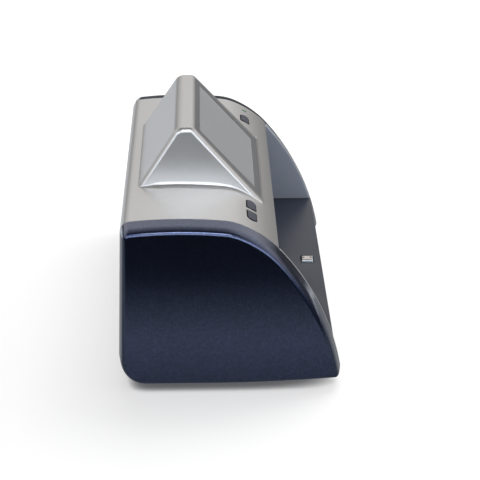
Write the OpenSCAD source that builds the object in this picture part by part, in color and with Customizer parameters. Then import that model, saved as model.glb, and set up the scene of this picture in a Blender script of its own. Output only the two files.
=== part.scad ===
// Table-top banknote checker with a hooded viewing chamber, a sloping screen in a
// ridge-shaped housing and two rounded end caps. Sizes are millimetres.
// +X is the operator's right, +Y the back, +Z up; the origin is on the desk, under the middle.

/* [Overall] */
// Width over both end caps
body_w = 278; // [270:1:320]
// Depth from the back face to the toe
body_d = 145; // [138:1:158]
// Height of the end caps above their lowest edge
cap_h = 112.5; // [106:0.5:122]
// Gap between the desk and the lowest edge of the caps
foot_h = 2; // [1.5:0.1:4]
// Wall of the moulded shells
wall = 2.4; // [2:0.1:3]
// Gap left between pieces that are fitted together
fit_gap = 0.15; // [0.1:0.05:0.3]

/* [End profile] */
// Distance of the crown's highest line from the back face
crown_y = 40; // [34:1:46]
// Radius of the crown
crown_r = 300; // [220:5:400]
// Slope at which the crown runs into the shoulder, in degrees
crown_turn = 5.5; // [3:0.5:7]
// Radius of the shoulder
shoulder_r = 38; // [32:1:46]
// Slope at which the shoulder runs into the brow, in degrees
shoulder_turn = 23; // [19:1:26]
// Radius of the brow, the curved strip that carries the keys
brow_r = 72; // [66:1:80]
// Slope at which the brow runs into the front curve, in degrees
brow_turn = 49; // [46:1:52]
// Radius of the bottom front corner
toe_r = 4.5; // [3.5:0.25:6]
// Rise of the bottom edge at the toe
toe_lift = 3.4; // [2.5:0.1:4.5]
// Distance from the back face at which the bottom edge starts to rise
lift_start = 60; // [50:1:80]
// Radius of the bottom back corner
heel_r = 18; // [14:1:20]
// Radius of the top back corner
back_r = 7; // [6:0.5:9]
// Forward lean of the back wall, in degrees
back_lean = 1.8; // [0.5:0.1:3]

/* [End caps] */
// Thickness of an end cap, along X
cap_t = 15.6; // [14:0.2:18]
// Draft of a cap's rim, in degrees
cap_draft = 7; // [4:0.5:9]
// Radius round a cap's outer edge
cap_edge_r = 3.5; // [3:0.25:4.5]
// Thickness of the plates between the caps and the housing
frame_t = 2; // [1.6:0.1:2.4]

/* [Viewing chamber] */
// Distance from the middle of the keys to the hood's front edge, along Y
hood_margin = 16.5; // [14:0.5:18]
// Height of the hood's front lip
lip_h = 6; // [5:0.2:8]
// Thickness of the hood's front lip
lip_t = 2; // [1.6:0.1:2.6]
// Height of the chamber floor above the lowest edge of the caps
floor_z = 30; // [28:0.2:32]
// Thickness of the chamber floor
floor_t = 2.4; // [2:0.1:3]
// Thickness of the ceiling and the back wall
lining_t = 2; // [1.6:0.1:2]
// Thickness of the chamber's side walls
side_t = 1.5; // [1.2:0.1:2]
// Distance from the back face to the chamber's back wall
chamber_back = 41; // [38:0.5:43]
// Step from the frame's rim in to the side walls' edge
rim_step = 0.8; // [0.4:0.1:1.2]

/* [Screen housing] */
// Distance from the visible display to each end of the ridge, at the height of the crown
hump_side = 15.1; // [13:0.1:17]
// Lean of the ridge's end faces, in degrees
hump_lean = 6; // [4:0.5:7]
// Height of the ridge above the end caps
hump_rise = 38.5; // [36:0.5:43]
// Radius along the ridge's front edge
ridge_front_r = 4.8; // [3.4:0.1:5]
// Radius along the ridge's back edge
ridge_back_r = 8; // [6:0.5:9]
// Radius along the bottom front edge of the ridge housing
hump_toe_r = 3.6; // [3.2:0.1:4]
// Chamfer round the ridge's end faces
hump_chamfer = 3; // [2:0.1:3.1]
// Angle between the screen and the horizontal, in degrees
screen_tilt = 47.8; // [46:0.1:49]
// Distance from the back face to the screen's top edge
screen_top_y = 50.4; // [49:0.2:52]
// Drop from the ridge's top to the screen's top edge
screen_drop = 1.2; // [0.8:0.1:1.6]
// Angle between the ridge's back and the horizontal, in degrees
hump_back_tilt = 56.5; // [54:0.5:60]
// Distance from the back face to the foot of the ridge's back
hump_back_y = 13.4; // [12:0.2:15]

/* [Screen] */
// Start of the screen frame below the screen's top edge
bezel_start = 0.6; // [0.4:0.1:1]
// Margin between the frame's top corners and the ridge's end faces
bezel_margin = 5.6; // [4.8:0.1:6.4]
// Taper of each side of the screen frame, in degrees
bezel_taper = 3.2; // [2:0.1:4.2]
// Thickness of the screen frame
bezel_t = 1.5; // [1.2:0.1:1.8]
// Width of the visible display
view_w = 98; // [94:0.5:100]
// Height of the visible display
view_h = 55.2; // [52:0.2:56]
// Distance down the slope to the visible display
view_start = 5.5; // [5:0.1:6]
// Width of the screen frame below the visible display
view_end = 5.4; // [4.4:0.1:6.4]
// Lap of the pane and the display beyond the visible area
view_lap = 1.8; // [1.4:0.1:2.2]
// Thickness of the clear pane
pane_t = 1.1; // [0.8:0.1:1.4]
// Thickness of the foam gasket behind the pane
gasket_t = 0.5; // [0.4:0.1:0.8]
// Thickness of the display module
display_t = 4; // [3:0.2:4.6]
// Gap between the display and its circuit board
display_gap = 3.2; // [2.6:0.2:3.6]

/* [Keys] */
// Slope of the housing at the middle of the keys, in degrees
key_turn = 29.6; // [28:0.2:31]
// Length of one key, along X
key_w = 14.4; // [12:0.1:15]
// Height of one key, down the slope
key_d = 7; // [6:0.1:8]
// Height that a key stands out of the housing
key_proud = 0.5; // [0.4:0.1:0.8]
// Travel of a key
key_travel = 0.6; // [0.4:0.1:0.7]
// Gap round a key
key_gap = 0.35; // [0.25:0.05:0.45]
// Distance from the left side frame to the middle of the pair of function keys
pair_inset = 32.4; // [31:0.1:36]
// Half of the bar between the two function keys, with its gaps
pair_half_gap = 2.3; // [2:0.1:3]
// Distance from the right side frame to the middle of the power key
power_inset = 29.5; // [28:0.1:32]
// Distance from the right side frame to the power light
light_inset = 10.4; // [9.6:0.1:12]
// Length of the power light, down the slope
light_d = 4; // [3:0.25:5]
// Width of the power light, along X
light_w = 1.6; // [1.2:0.1:2]

/* [Magnetic head] */
// Size of the head along X
head_w = 10.6; // [9.6:0.1:12]
// Size of the head along Y
head_d = 8.2; // [7.6:0.1:9]
// Height that the head stands out of the floor
head_proud = 0.9; // [0.8:0.1:1.2]
// Travel of the head on its spring
head_travel = 0.8; // [0.5:0.1:0.8]
// Distance from the middle of the body to the middle of the head, along X
head_x = 0; // [-3:0.1:3]
// Gap between the base's front wall and the head's guide
head_clear = 0.7; // [0.5:0.1:1.2]
// Gap between the head and the floor round it
head_gap = 0.5; // [0.4:0.05:0.6]

/* [Electronics] */
// Width of the main circuit board
board_w = 180; // [160:1:188]
// Depth of the main circuit board
board_d = 90; // [80:1:92]
// Thickness of every circuit board
board_t = 1.6; // [1.2:0.1:1.6]
// Height of the posts under the main circuit board
board_post_h = 5.6; // [4:0.2:7]
// Distance from the back face to the main circuit board
board_y = 8; // [7:0.5:12]
// Distance from the main circuit board's edges to its screws
board_screw_inset = 6; // [5:0.5:8]
// Width of the processor's shield
shield_w = 40; // [30:1:44]
// Depth of the processor's shield
shield_d = 28; // [20:1:32]
// Height of the processor's shield
shield_h = 4; // [3:0.5:6]
// Radius of a capacitor
capacitor_r = 4; // [3:0.5:5]
// Height of a capacitor
capacitor_h = 12; // [8:0.5:14]
// Height of a connector
connector_h = 5.2; // [4:0.2:7]
// Depth of a connector
connector_d = 6; // [4:0.5:7]
// Width of a wire connector
connector_w = 12; // [8:0.5:16]
// Height of a chip
chip_h = 1.2; // [1:0.1:2]
// Width of the largest chip
chip_w = 14; // [8:1:16]
// Radius of the buzzer
buzzer_r = 6; // [4:0.5:7]
// Height of the buzzer
buzzer_h = 9; // [6:0.5:11]
// Width of the flat cable to the display
cable_w = 20; // [14:1:24]
// Thickness of the flat cable
cable_t = 0.6; // [0.4:0.1:1]
// Half of the camera's square board
camera_half = 14; // [13:0.5:16]
// Height of the camera's board above the ceiling
camera_lift = 9; // [8:0.5:11]
// Radius of the camera's barrel
camera_r = 7; // [6:0.5:8]
// Half of the width of the infrared lamps' board
lamp_half = 32; // [30:1:36]
// Radius of a lamp
lamp_r = 2.5; // [1.5:0.25:2.5]
// Half of the width of the ultraviolet lamps' board
uv_half = 62; // [58:1:70]
// Distance between two ultraviolet lamps
uv_pitch = 18; // [16:0.5:20]
// Distance from the middle of the body to the power socket
jack_x = 60; // [50:1:70]
// Width of the power socket
jack_w = 9; // [8:0.5:10]
// Length of the power socket
jack_len = 13; // [11:0.5:15]
// Radius of the power socket's hole
jack_bore_r = 3.15; // [2.8:0.05:3.2]

/* [Fasteners and feet] */
// Radius of a case screw's shank
case_screw_r = 1.3; // [1.1:0.05:1.4]
// Radius of a board screw's shank
board_screw_r = 1; // [0.9:0.05:1.1]
// Play between a screw and the hole it cuts into
pilot_play = 0.05; // [0.03:0.01:0.08]
// Play between a screw and a hole that it passes through
screw_play = 0.35; // [0.25:0.05:0.45]
// Radius of a rubber foot
foot_r = 7; // [6:0.5:8]

/* [Hidden] */
$fn = 48;

silver = "#bebebc";
navy = "#1c2536";
charcoal = "#45484e";
lining = "#7c818b";
circuit_green = "#1f5a3a";
steel = "#b9bcc0";
black = "#202124";

// Planes across the body, as distances from its middle
frame_x = body_w / 2 - cap_t;
frame_in = frame_x - frame_t;
chamber_half = frame_in - side_t;
board_z = wall + board_post_h;
board_top = board_z + board_t;
seam_z = board_top + 0.4;
pair_x = frame_x - pair_inset;
power_x = frame_x - power_inset;
light_x = frame_x - light_inset;
pilot_r = board_screw_r + pilot_play;
case_pilot_r = case_screw_r + pilot_play;
case_hole_r = case_screw_r + screw_play;
board_hole_r = board_screw_r + screw_play;

// ---- The end profile: eight arcs in the (y, z) plane, y = 0 at the back, z = 0 at the lowest edge

// Outward normal of the profile where its slope is a: 0 on top, 90 at the front, 180 below
function normal(a) = [-sin(a), cos(a)];
function arc(c, r, a0, a1, n) = [for (k = [0:n]) c + r * normal(a0 + (a1 - a0) * k / n)];

crown_c = [-crown_y, cap_h - crown_r];
heel_c = [-heel_r, heel_r];
// The top back corner touches the leaning back wall and the crown from inside
back_w = heel_c + (heel_r - back_r) * normal(back_lean - 90) - crown_c;
back_s = back_w * normal(back_lean);
back_run = sqrt(back_s * back_s - back_w * back_w + pow(crown_r - back_r, 2)) - back_s;
back_c = back_w + crown_c + back_run * normal(back_lean);
back_turn = atan2(back_c[0] - crown_c[0], back_c[1] - crown_c[1]);
shoulder_c = crown_c + (crown_r - shoulder_r) * normal(crown_turn);
brow_c = shoulder_c + (shoulder_r - brow_r) * normal(shoulder_turn);
brow_end = brow_c + brow_r * normal(brow_turn);
toe_c = [-body_d + toe_r, toe_lift + toe_r];
// The front curve leaves the brow at its own slope and meets the toe's circle from outside
front_d = toe_c - brow_end;
front_r = (front_d * front_d - toe_r * toe_r) / (-2 * (front_d * normal(brow_turn) + toe_r));
front_c = brow_end - front_r * normal(brow_turn);
// The bottom edge rises from lift_start to the toe's circle
lift_run = body_d - toe_r - lift_start;
lift_r = (lift_run * lift_run + toe_c[1] * toe_c[1] - toe_r * toe_r) / (2 * toe_lift);
lift_c = [-lift_start, lift_r];
// Smallest radius left at the toe where the profile is moved in
toe_least = 0.8;
// Middle of the toe's circle that touches the front curve and the bottom edge, both moved in by s
function toe_middle(s) = let (
    w = lift_c - front_c,
    d = norm(w),
    r = front_r - s,
    a = (r * r - pow(lift_r - s, 2) + d * d) / (2 * d)
) front_c + (a * w + sqrt(r * r - a * a) * [-w[1], w[0]]) / d;
function toe_arcs(i) = let (
    s = max(toe_r, i + toe_least),
    c = toe_middle(s),
    front_turn = atan2(front_c[0] - c[0], c[1] - front_c[1]),
    lift_turn = asin((-c[0] - lift_start) / (lift_r - s))
) concat(
    arc(front_c, front_r - i, brow_turn, front_turn, 14),
    arc(c, s - i, front_turn, 180 - lift_turn, 14),
    arc(lift_c, lift_r - i, 180 - lift_turn, 180, 4));

// The hood ends ahead of the keys, and its lip hangs down to the ceiling
hood_reach = brow_r * sin(key_turn) - brow_c[0] + hood_margin;
ceiling_z = brow_c[1] + sqrt(brow_r * brow_r - pow(hood_reach + brow_c[0], 2)) - lip_h;

// The profile moved in by i all round, always with the same number of points
function end_outline(i) = concat(
    arc(back_c, back_r - i, back_lean - 90, -back_turn, 12),
    arc(crown_c, crown_r - i, -back_turn, crown_turn, 7),
    arc(shoulder_c, shoulder_r - i, crown_turn, shoulder_turn, 8),
    arc(brow_c, brow_r - i, shoulder_turn, brow_turn, 18),
    toe_arcs(i),
    arc(heel_c, heel_r - i, 180, 270 + back_lean, 14));

// Height of the profile's bottom edge at a distance from the back face
function bottom_z(y) = y < lift_start ? 0 : lift_r - sqrt(lift_r * lift_r - pow(y - lift_start, 2));
// Distance from the back face to the back wall moved in by i, at a height z
function back_at(z, i) = z < heel_r + (heel_r - i) * sin(back_lean)
    ? heel_r - sqrt(pow(heel_r - i, 2) - pow(heel_r - z, 2))
    : heel_r - (heel_r - i) / cos(back_lean) + (z - heel_r) * tan(back_lean);
// Distance from the back face to the front curve, at a height z
function front_at(z) = sqrt(pow(front_r, 2) - pow(z - front_c[1], 2)) - front_c[0];

module outline(i) polygon(end_outline(i));
module block(y0, y1, z0, z1) translate([y0, z0]) square([y1 - y0, z1 - z0]);
module across(x0, x1) rotate([90, 0, 90]) translate([0, 0, x0]) linear_extrude(x1 - x0) children();
module seat() translate([0, body_d / 2, foot_h]) children();
module both_sides() { children(); mirror([1, 0, 0]) children(); }
module rod(x0, x1, r) translate([x0, 0, 0]) rotate([0, 90, 0]) cylinder(h = x1 - x0, r = r);
module cuboid(x, y, z) translate([x[0], y[0], z[0]]) cube([x[1] - x[0], y[1] - y[0], z[1] - z[0]]);

// A solid through rings of equal length, each [x, list of (y, z) points], with x rising
module loft(rings) {
    n = len(rings[0][1]);
    last = (len(rings) - 1) * n;
    polyhedron(
        points = [for (ring = rings) for (p = ring[1]) [ring[0], p[0], p[1]]],
        faces = concat(
            [[for (k = [0:n - 1]) k]],
            [for (s = [0:len(rings) - 2]) for (k = [0:n - 1]) let (m = (k + 1) % n)
                [s * n + k, (s + 1) * n + k, (s + 1) * n + m, s * n + m]],
            [[for (k = [n - 1:-1:0]) last + k]]));
}

// ---- The ridge housing that carries the screen

hump_len = view_w + 2 * hump_side;
hump_top = cap_h + hump_rise;
screen_top_z = hump_top - screen_drop;
bezel_len = view_start - bezel_start + view_h + view_end;
function hump_half(z) = hump_len / 2 - (z - cap_h) * tan(hump_lean);
// y of a circle of radius r at height z that touches the screen's plane, or the ridge's back, from inside
function front_touch(r, z) = -screen_top_y + (r + (z - screen_top_z) * cos(screen_tilt)) / sin(screen_tilt);
function back_touch(r, z) = -hump_back_y - (r + (z - cap_h) * cos(hump_back_tilt)) / sin(hump_back_tilt);

ridge_front_z = hump_top - ridge_front_r;
ridge_back_z = hump_top - ridge_back_r;
// Rim left between the screen frame and the housing's bottom front edge
bezel_rim = 1;
hump_toe_z = screen_top_z - (bezel_start + bezel_len + bezel_rim) * sin(screen_tilt)
    - hump_toe_r * cos(screen_tilt);
hump_toe_drop = 0.6;
hump_foot_drop = 5;
hump_foot_z = cap_h - hump_foot_drop;
hump_sink = 9;
// [y, z, radius] of the rounded corners of the ridge's section; sink lowers its open underside
function hump_corners(sink) = [
    [front_touch(ridge_front_r, ridge_front_z), ridge_front_z, ridge_front_r],
    [back_touch(ridge_back_r, ridge_back_z), ridge_back_z, ridge_back_r],
    [front_touch(hump_toe_r, hump_toe_z), hump_toe_z, hump_toe_r],
    [front_touch(hump_toe_r, hump_toe_z), hump_toe_z - hump_toe_drop - sink, hump_toe_r],
    [back_touch(hump_toe_r, hump_foot_z), hump_foot_z - sink, hump_toe_r]];

module hump_form(i, edge, sink) hull() for (p = hump_corners(sink)) for (step = [0, edge])
    translate([0, p[0], p[1]]) rotate([0, 90, 0])
        cylinder(h = 2 * (hump_half(p[1]) - i - edge + step), r = p[2] - i - step, center = true, $fn = 32);

// The screen's own frame: x across, y up the slope from the top edge, z out of the screen
module on_screen() translate([0, -screen_top_y, screen_top_z]) rotate([screen_tilt, 0, 0]) children();
// (y, z) of the point v down the screen and w out of it
function screen_point(v, w) = [-screen_top_y - v * cos(screen_tilt) - w * sin(screen_tilt),
    screen_top_z - v * sin(screen_tilt) + w * cos(screen_tilt)];
bezel_top_half = hump_half(screen_top_z - bezel_start * sin(screen_tilt)) - bezel_margin;
function bezel_half(v) = bezel_top_half + (v - bezel_start) * tan(bezel_taper);
module bezel_outline(gap) {
    v0 = bezel_start + gap;
    v1 = bezel_start + bezel_len - gap;
    polygon([[-bezel_half(v0) + gap, -v0], [bezel_half(v0) - gap, -v0],
             [bezel_half(v1) - gap, -v1], [-bezel_half(v1) + gap, -v1]]);
}
module view_window(extra, z0, z1) translate([0, -view_start - view_h / 2, z0])
    linear_extrude(z1 - z0) square([view_w + 2 * extra, view_h + 2 * extra], center = true);

pane_out = -bezel_t;
gasket_out = pane_out - pane_t;
display_out = gasket_out - gasket_t;
display_back = display_out - display_t;
display_board_top = display_back - display_gap;

// ---- The brow's frame: x across, y up the slope, z out from the brow's axis

module at_brow(x) translate([x, brow_c[0], brow_c[1]]) rotate([key_turn, 0, 0]) children();

// Half a stadium: straight end at x = 0, round end at x = key_w
module key_outline(gap) {
    translate([-gap, -key_d / 2 - gap]) square([key_w - key_d / 2 + gap, key_d + 2 * gap]);
    translate([key_w - key_d / 2, 0]) circle(r = key_d / 2 + gap);
}

flange_gap = 0.6;
flange_top = brow_r - wall - flange_gap;
flange_t = 1.2;
flange_lap = 0.65;
stem_h = 1;
plunger_r = 1.7;
plunger_h = 1.5;
plunger_top = flange_top - flange_t - stem_h;
switch_top = plunger_top - plunger_h;
switch_h = 3.5;
switch_w = 6;
// Gap left under a plunger that is fully pressed
switch_rest = 0.5;
key_board_top = switch_top - switch_h;
key_middle = key_w / 2;
bore_play = 0.08;

module key_cap() {
    intersection() {
        translate([0, 0, flange_top - flange_t / 2]) linear_extrude(brow_r) key_outline(0);
        rod(-key_w, 2 * key_w, brow_r + key_proud, $fn = 360);
    }
    translate([0, 0, flange_top - flange_t]) linear_extrude(flange_t) key_outline(flange_lap);
    translate([key_middle, 0, plunger_top]) cylinder(h = stem_h + flange_t / 2, r = plunger_r);
}
module key_opening() translate([0, 0, brow_r / 2]) linear_extrude(brow_r) key_outline(key_gap);
plunger_sink = 0.9;
module plunger() translate([key_middle, 0, switch_top - plunger_sink])
    cylinder(h = plunger_h + plunger_sink, r = plunger_r);
module key_switch() translate([key_middle, 0, key_board_top]) difference() {
    translate([-switch_w / 2, -switch_w / 2, 0]) cube([switch_w, switch_w, switch_h]);
    translate([0, 0, switch_h - plunger_sink - key_travel - switch_rest])
        cylinder(h = switch_h, r = plunger_r + bore_play);
}

// Places of the three keys; the left function key is the right one turned round
module at_power_key() at_brow(power_x - key_middle) children();
module at_right_key() at_brow(-pair_x + pair_half_gap) children();
module at_left_key() at_brow(-pair_x - pair_half_gap) mirror([1, 0, 0]) children();

post_r = 2;
post_gap = 0.5;
key_board_lap = 4.2;
key_board_end = 3;
key_half_d = key_d / 2 + key_board_lap;
post_step = flange_lap + post_r + post_gap;
function_posts = [for (s = [-1, 1]) -pair_x + s * (pair_half_gap + key_w + post_step)];
power_posts = [power_x - key_middle - post_step, (power_x + key_middle + light_x) / 2];
board_bite = 4;
module key_posts(xs) for (x = xs) at_brow(x) difference() {
    translate([0, 0, key_board_top]) cylinder(h = brow_r - wall / 2 - key_board_top, r = post_r, $fn = 24);
    translate([0, 0, key_board_top - board_t]) cylinder(h = board_t + board_bite + 2, r = pilot_r, $fn = 24);
}
module key_board(x0, x1, posts) difference() {
    at_brow(0) translate([x0, -key_half_d, key_board_top - board_t]) cube([x1 - x0, 2 * key_half_d, board_t]);
    for (x = posts) at_brow(x) translate([0, 0, key_board_top - 2 * board_t])
        cylinder(h = 3 * board_t, r = board_hole_r, $fn = 24);
}
light_chip_h = 1.9;
light_chip_w = 3.2;
light_chip_d = 2.8;
light_lap = 0.8;
light_proud = 0.1;
module light_bar(gap) square([light_w + 2 * gap, light_d + 2 * gap], center = true);

// ---- Places of posts, screws and feet: [x, y from the back, ...]

cap_post_y = 18;
cap_post_z = 24;
cap_post_drop = 16;
cap_post_mid = 72;
cap_post_low = 15;
cap_post_front = 42;
cap_posts = [[-cap_post_y, cap_h - cap_post_drop - 3], [-cap_post_y, cap_post_z],
    [-cap_post_mid, cap_h - cap_post_drop], [cap_post_front - body_d, cap_post_low]];
cap_post_r = 3.5;
case_post_r = 4;
pan_post_r = 4.8;
front_block = 10;
front_block_top = 20;
rear_post = [frame_in - 16.5, heel_r];
rear_post_h = 42;
front_post = [frame_in - front_block / 2, body_d - 20];
floor_posts = [[frame_in - 18, 62], [frame_in - 18, body_d - 36]];
post_foot_z = board_z;
case_head_r = 2.75;
case_head_h = 1.8;
case_head_lift = 2.2;
case_bite = 10;
cap_bite = 7;
head_play = 0.3;
board_head_r = 2;
board_head_h = 1.4;
// Height of the underside of a case screw's head, at a distance from the back face
function case_head_z(y) = bottom_z(y) + case_head_lift;
feet = [[frame_in - 16.5, 32], [frame_in - 26.5, body_d - 34]];
foot_sink = 0.8;

board_post_r = 3;
board_posts = [for (sx = [-1, 1])
    for (y = [board_y + 2 * board_screw_inset, board_y + board_d - board_screw_inset])
        [sx * (board_w / 2 - board_screw_inset), y]];

module case_screw(len) {
    cylinder(h = case_head_h, r = case_head_r, $fn = 32);
    cylinder(h = case_head_h + len, r = case_screw_r, $fn = 32);
}
module board_screw(len) {
    cylinder(h = board_head_h, r = board_head_r, $fn = 24);
    cylinder(h = board_head_h + len, r = board_screw_r, $fn = 24);
}

// ---- Sensors above the ceiling

ceiling_top = ceiling_z + lining_t;
camera_inset = 21;
camera_y = chamber_back + camera_inset;
sensor_post_r = 2.2;
sensor_edge = 3;
camera_posts = [for (sx = [-1, 1]) for (sy = [-1, 1])
    [sx * (camera_half - sensor_edge), camera_y + sy * (camera_half - sensor_edge)]];
camera_board_z = ceiling_top + camera_lift;
lens_gap = 0.9;
lens_mouth_r = 5;
lens_pupil_r = 2.4;
lamp_board_lift = 2.4;
lamp_board_z = ceiling_top + lamp_board_lift;
lamp_depth = 15;
lamp_posts = [for (sx = [-1, 1]) for (sy = [-1, 1])
    [sx * (lamp_half - sensor_edge), camera_y + sy * (lamp_depth - sensor_edge)]];
lamp_drop = 4.2;
lamp_play = 0.2;
lamp_x = 18;
lamp_out_x = 25;
lamp_y = 8;
infrared_places = [for (sx = [-1, 1]) for (p = [[lamp_x, -lamp_y], [lamp_x, lamp_y], [lamp_out_x, 0]])
    [sx * p[0], camera_y + p[1]]];
uv_inset = 15;
uv_y = hood_reach - uv_inset;
uv_lift = 4.4;
uv_board_z = ceiling_top + uv_lift;
uv_board_half_d = 5;
uv_places = [for (k = [-2.5:1:2.5]) k * uv_pitch];
uv_window_half = uv_half - 10;
uv_window_d = 9;
filter_t = 1;
filter_lap = 1.5;
uv_drop = uv_lift - filter_t - 0.4;

// ---- The magnetic head under the floor

guide_side = 2;
// The base's front wall stands just behind the floor's front edge
front_step = 0.3;
front_wall_y = front_at(floor_z) - front_step;
head_y = front_wall_y - wall - head_clear - guide_side - head_d / 2;
head_c = [head_x, -head_y, 0];
head_h = 10.3;
holder_h = 6;
head_z = floor_z + head_proud - head_h;
holder_z = head_z - holder_h;
holder_ear = 2;
holder_lift = 2;
ear_h = 4.7;
guide_wall = 2.4;
guide_gap = 0.3;
guide_floor_z = holder_z - holder_lift - head_travel;
spring_r = 2.5;
spring_wire = 0.35;
spring_pocket = 2.6;
guide_floor_t = 2;
guide_ear = 5;
guide_ear_t = 2;
guide_boss_h = 7;
guide_boss_r = 2.6;
guide_screw_x = head_w / 2 + holder_ear + guide_wall + guide_ear;
guide_ear_z = floor_z - floor_t - guide_boss_h;
face_rim = 0.6;
face_lip = 1.8;
face_side = 0.5;
face_t = 1.1;
face_sink = 0.1;

// ---- Sub-parts

module housing_section() intersection() {
    difference() { outline(0); outline(wall); }
    block(-hood_reach, 1, seam_z, cap_h + 1);
}

module top_housing() color(silver) seat() {
    difference() {
        union() {
            across(-frame_x, frame_x) housing_section();
            hump_form(0, hump_chamfer, 0);
            // Lip that closes the front of the hood
            intersection() {
                across(-frame_in + fit_gap, frame_in - fit_gap)
                    block(-hood_reach, -hood_reach + lip_t, ceiling_z, cap_h);
                across(-frame_in, frame_in) outline(0.5);
            }
            // Posts for the case screws, joined to the back wall
            both_sides() {
                translate([rear_post[0], -rear_post[1], post_foot_z])
                    cylinder(h = rear_post_h, r = case_post_r);
                across(rear_post[0] - wall / 2, rear_post[0] + wall / 2) intersection() {
                    outline(wall / 2);
                    block(-rear_post[1], 0, seam_z + wall, post_foot_z + rear_post_h);
                }
            }
        }
        hump_form(wall, 0, hump_sink);
        on_screen() translate([0, 0, -bezel_t]) linear_extrude(10) bezel_outline(0);
        on_screen() view_window(view_lap + fit_gap, -10, 1);
        at_power_key() key_opening();
        at_right_key() key_opening();
        at_left_key() key_opening();
        at_brow(light_x) translate([0, 0, brow_r / 2]) linear_extrude(brow_r) light_bar(fit_gap);
        both_sides() translate([rear_post[0], -rear_post[1], post_foot_z - 1])
            cylinder(h = case_bite + 3, r = case_pilot_r);
        translate([jack_x, 1, jack_z]) rotate([90, 0, 0])
            cylinder(h = jack_back + 1, r = jack_nose_r + head_play);
    }
    key_posts(function_posts);
    key_posts(power_posts);
}

// A plate with the whole end profile where it shows, set inside the shell where the shell covers it
module side_frame() difference() {
    union() {
        across(frame_in, frame_x) {
            outline(wall + fit_gap);
            intersection() {
                outline(0);
                union() {
                    block(-body_d, -hood_reach - fit_gap, 0, cap_h);
                    block(-body_d, 0, 0, seam_z - fit_gap);
                }
            }
        }
        cuboid([front_post[0] - front_block / 2, frame_in + frame_t / 2],
            [-front_post[1] - front_block / 2, -front_post[1] + front_block / 2],
            [post_foot_z, front_block_top]);
    }
    for (p = cap_posts) translate([0, p[0], p[1]]) rod(frame_in - 1, frame_x + 1, case_hole_r);
    translate([front_post[0], -front_post[1], post_foot_z - 1])
        cylinder(h = case_bite + 1.6, r = case_pilot_r);
}
module left_side_frame() color(silver) seat() mirror([1, 0, 0]) side_frame();
module right_side_frame() color(silver) seat() side_frame();

// Rings of the cap from the frame out to its face, moved in by i
function cap_rings(i) = let (
    edge_x = body_w / 2 - cap_edge_r,
    edge_in = (cap_t - cap_edge_r) * tan(cap_draft),
    r = cap_edge_r - i
) concat(
    [[frame_x, end_outline(i)]],
    [for (a = [0:22.5:90]) [edge_x + r * sin(a), end_outline(edge_in + i + r * (1 - cos(a)))]]);

module end_cap() {
    difference() {
        loft(cap_rings(0));
        translate([-0.01, 0, 0]) loft(cap_rings(wall));
    }
    for (p = cap_posts) translate([0, p[0], p[1]]) difference() {
        rod(frame_x, body_w / 2 - wall / 2, cap_post_r);
        rod(frame_x - 1, body_w / 2 - wall - fit_gap, case_pilot_r);
    }
}
module left_end_cap() color(navy) seat() mirror([1, 0, 0]) end_cap();
module right_end_cap() color(navy) seat() end_cap();

// The base's section: low walls all round, and a front wall that reaches up to the floor
module pan_section() difference() {
    intersection() {
        outline(0);
        union() {
            block(-front_wall_y, 0, 0, seam_z - fit_gap);
            block(-front_wall_y, -head_y, 0, floor_z - floor_t);
        }
    }
    intersection() {
        outline(wall);
        block(-front_wall_y + wall, 0, 0, floor_z);
    }
}
module base_pan() color(charcoal) seat() difference() {
    union() {
        across(-frame_in + fit_gap, frame_in - fit_gap) pan_section();
        both_sides() {
            for (p = [rear_post, front_post]) translate([p[0], -p[1], bottom_z(p[1]) + wall / 2])
                cylinder(h = post_foot_z - bottom_z(p[1]) - wall / 2, r = pan_post_r);
            // Posts under the chamber floor
            for (p = floor_posts) translate([p[0], -p[1], bottom_z(p[1]) + wall / 2])
                cylinder(h = floor_z - floor_t - bottom_z(p[1]) - wall / 2, r = case_post_r);
        }
        for (p = board_posts) translate([p[0], -p[1], wall / 2])
            cylinder(h = board_z - wall / 2, r = board_post_r, $fn = 32);
    }
    both_sides() {
        for (p = [rear_post, front_post]) translate([p[0], -p[1], -1]) {
            cylinder(h = post_foot_z + 2, r = case_hole_r);
            cylinder(h = 1 + case_head_z(p[1]) + case_head_h, r = case_head_r + head_play);
        }
        for (p = feet) translate([p[0], -p[1], -1])
            cylinder(h = 1 + bottom_z(p[1]) + foot_sink, r = foot_r + fit_gap);
    }
    for (p = board_posts) translate([p[0], -p[1], wall]) cylinder(h = board_post_h + 1, r = pilot_r, $fn = 24);
    // Vents under the board
    for (k = [-3:3]) cuboid([k * vent_pitch - vent_w / 2, k * vent_pitch + vent_w / 2],
        [-vent_y - vent_len, -vent_y], [-1, wall + 1]);
}

vent_pitch = 9;
vent_w = 4;
vent_y = 44;
vent_len = 30;

module rubber_feet() color(black) seat() both_sides()
    for (p = feet) translate([p[0], -p[1], -foot_h])
        cylinder(h = foot_h + bottom_z(p[1]) + foot_sink, r = foot_r);

module chamber_floor() color(charcoal) seat() difference() {
    union() {
        across(-frame_in + fit_gap, frame_in - fit_gap) intersection() {
            outline(0);
            block(-body_d, -chamber_back, floor_z - floor_t, floor_z);
        }
        translate(head_c) both_sides() translate([guide_screw_x, 0, guide_ear_z])
            cylinder(h = floor_z - floor_t / 2 - guide_ear_z, r = guide_boss_r, $fn = 32);
    }
    translate(head_c) cuboid([-head_w / 2 - head_gap, head_w / 2 + head_gap],
        [-head_d / 2 - head_gap, head_d / 2 + head_gap], [floor_z - 2 * floor_t, floor_z + 1]);
    translate(head_c) both_sides() translate([guide_screw_x, 0, guide_ear_z - 1])
        cylinder(h = board_bite + 2, r = pilot_r, $fn = 24);
}

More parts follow.
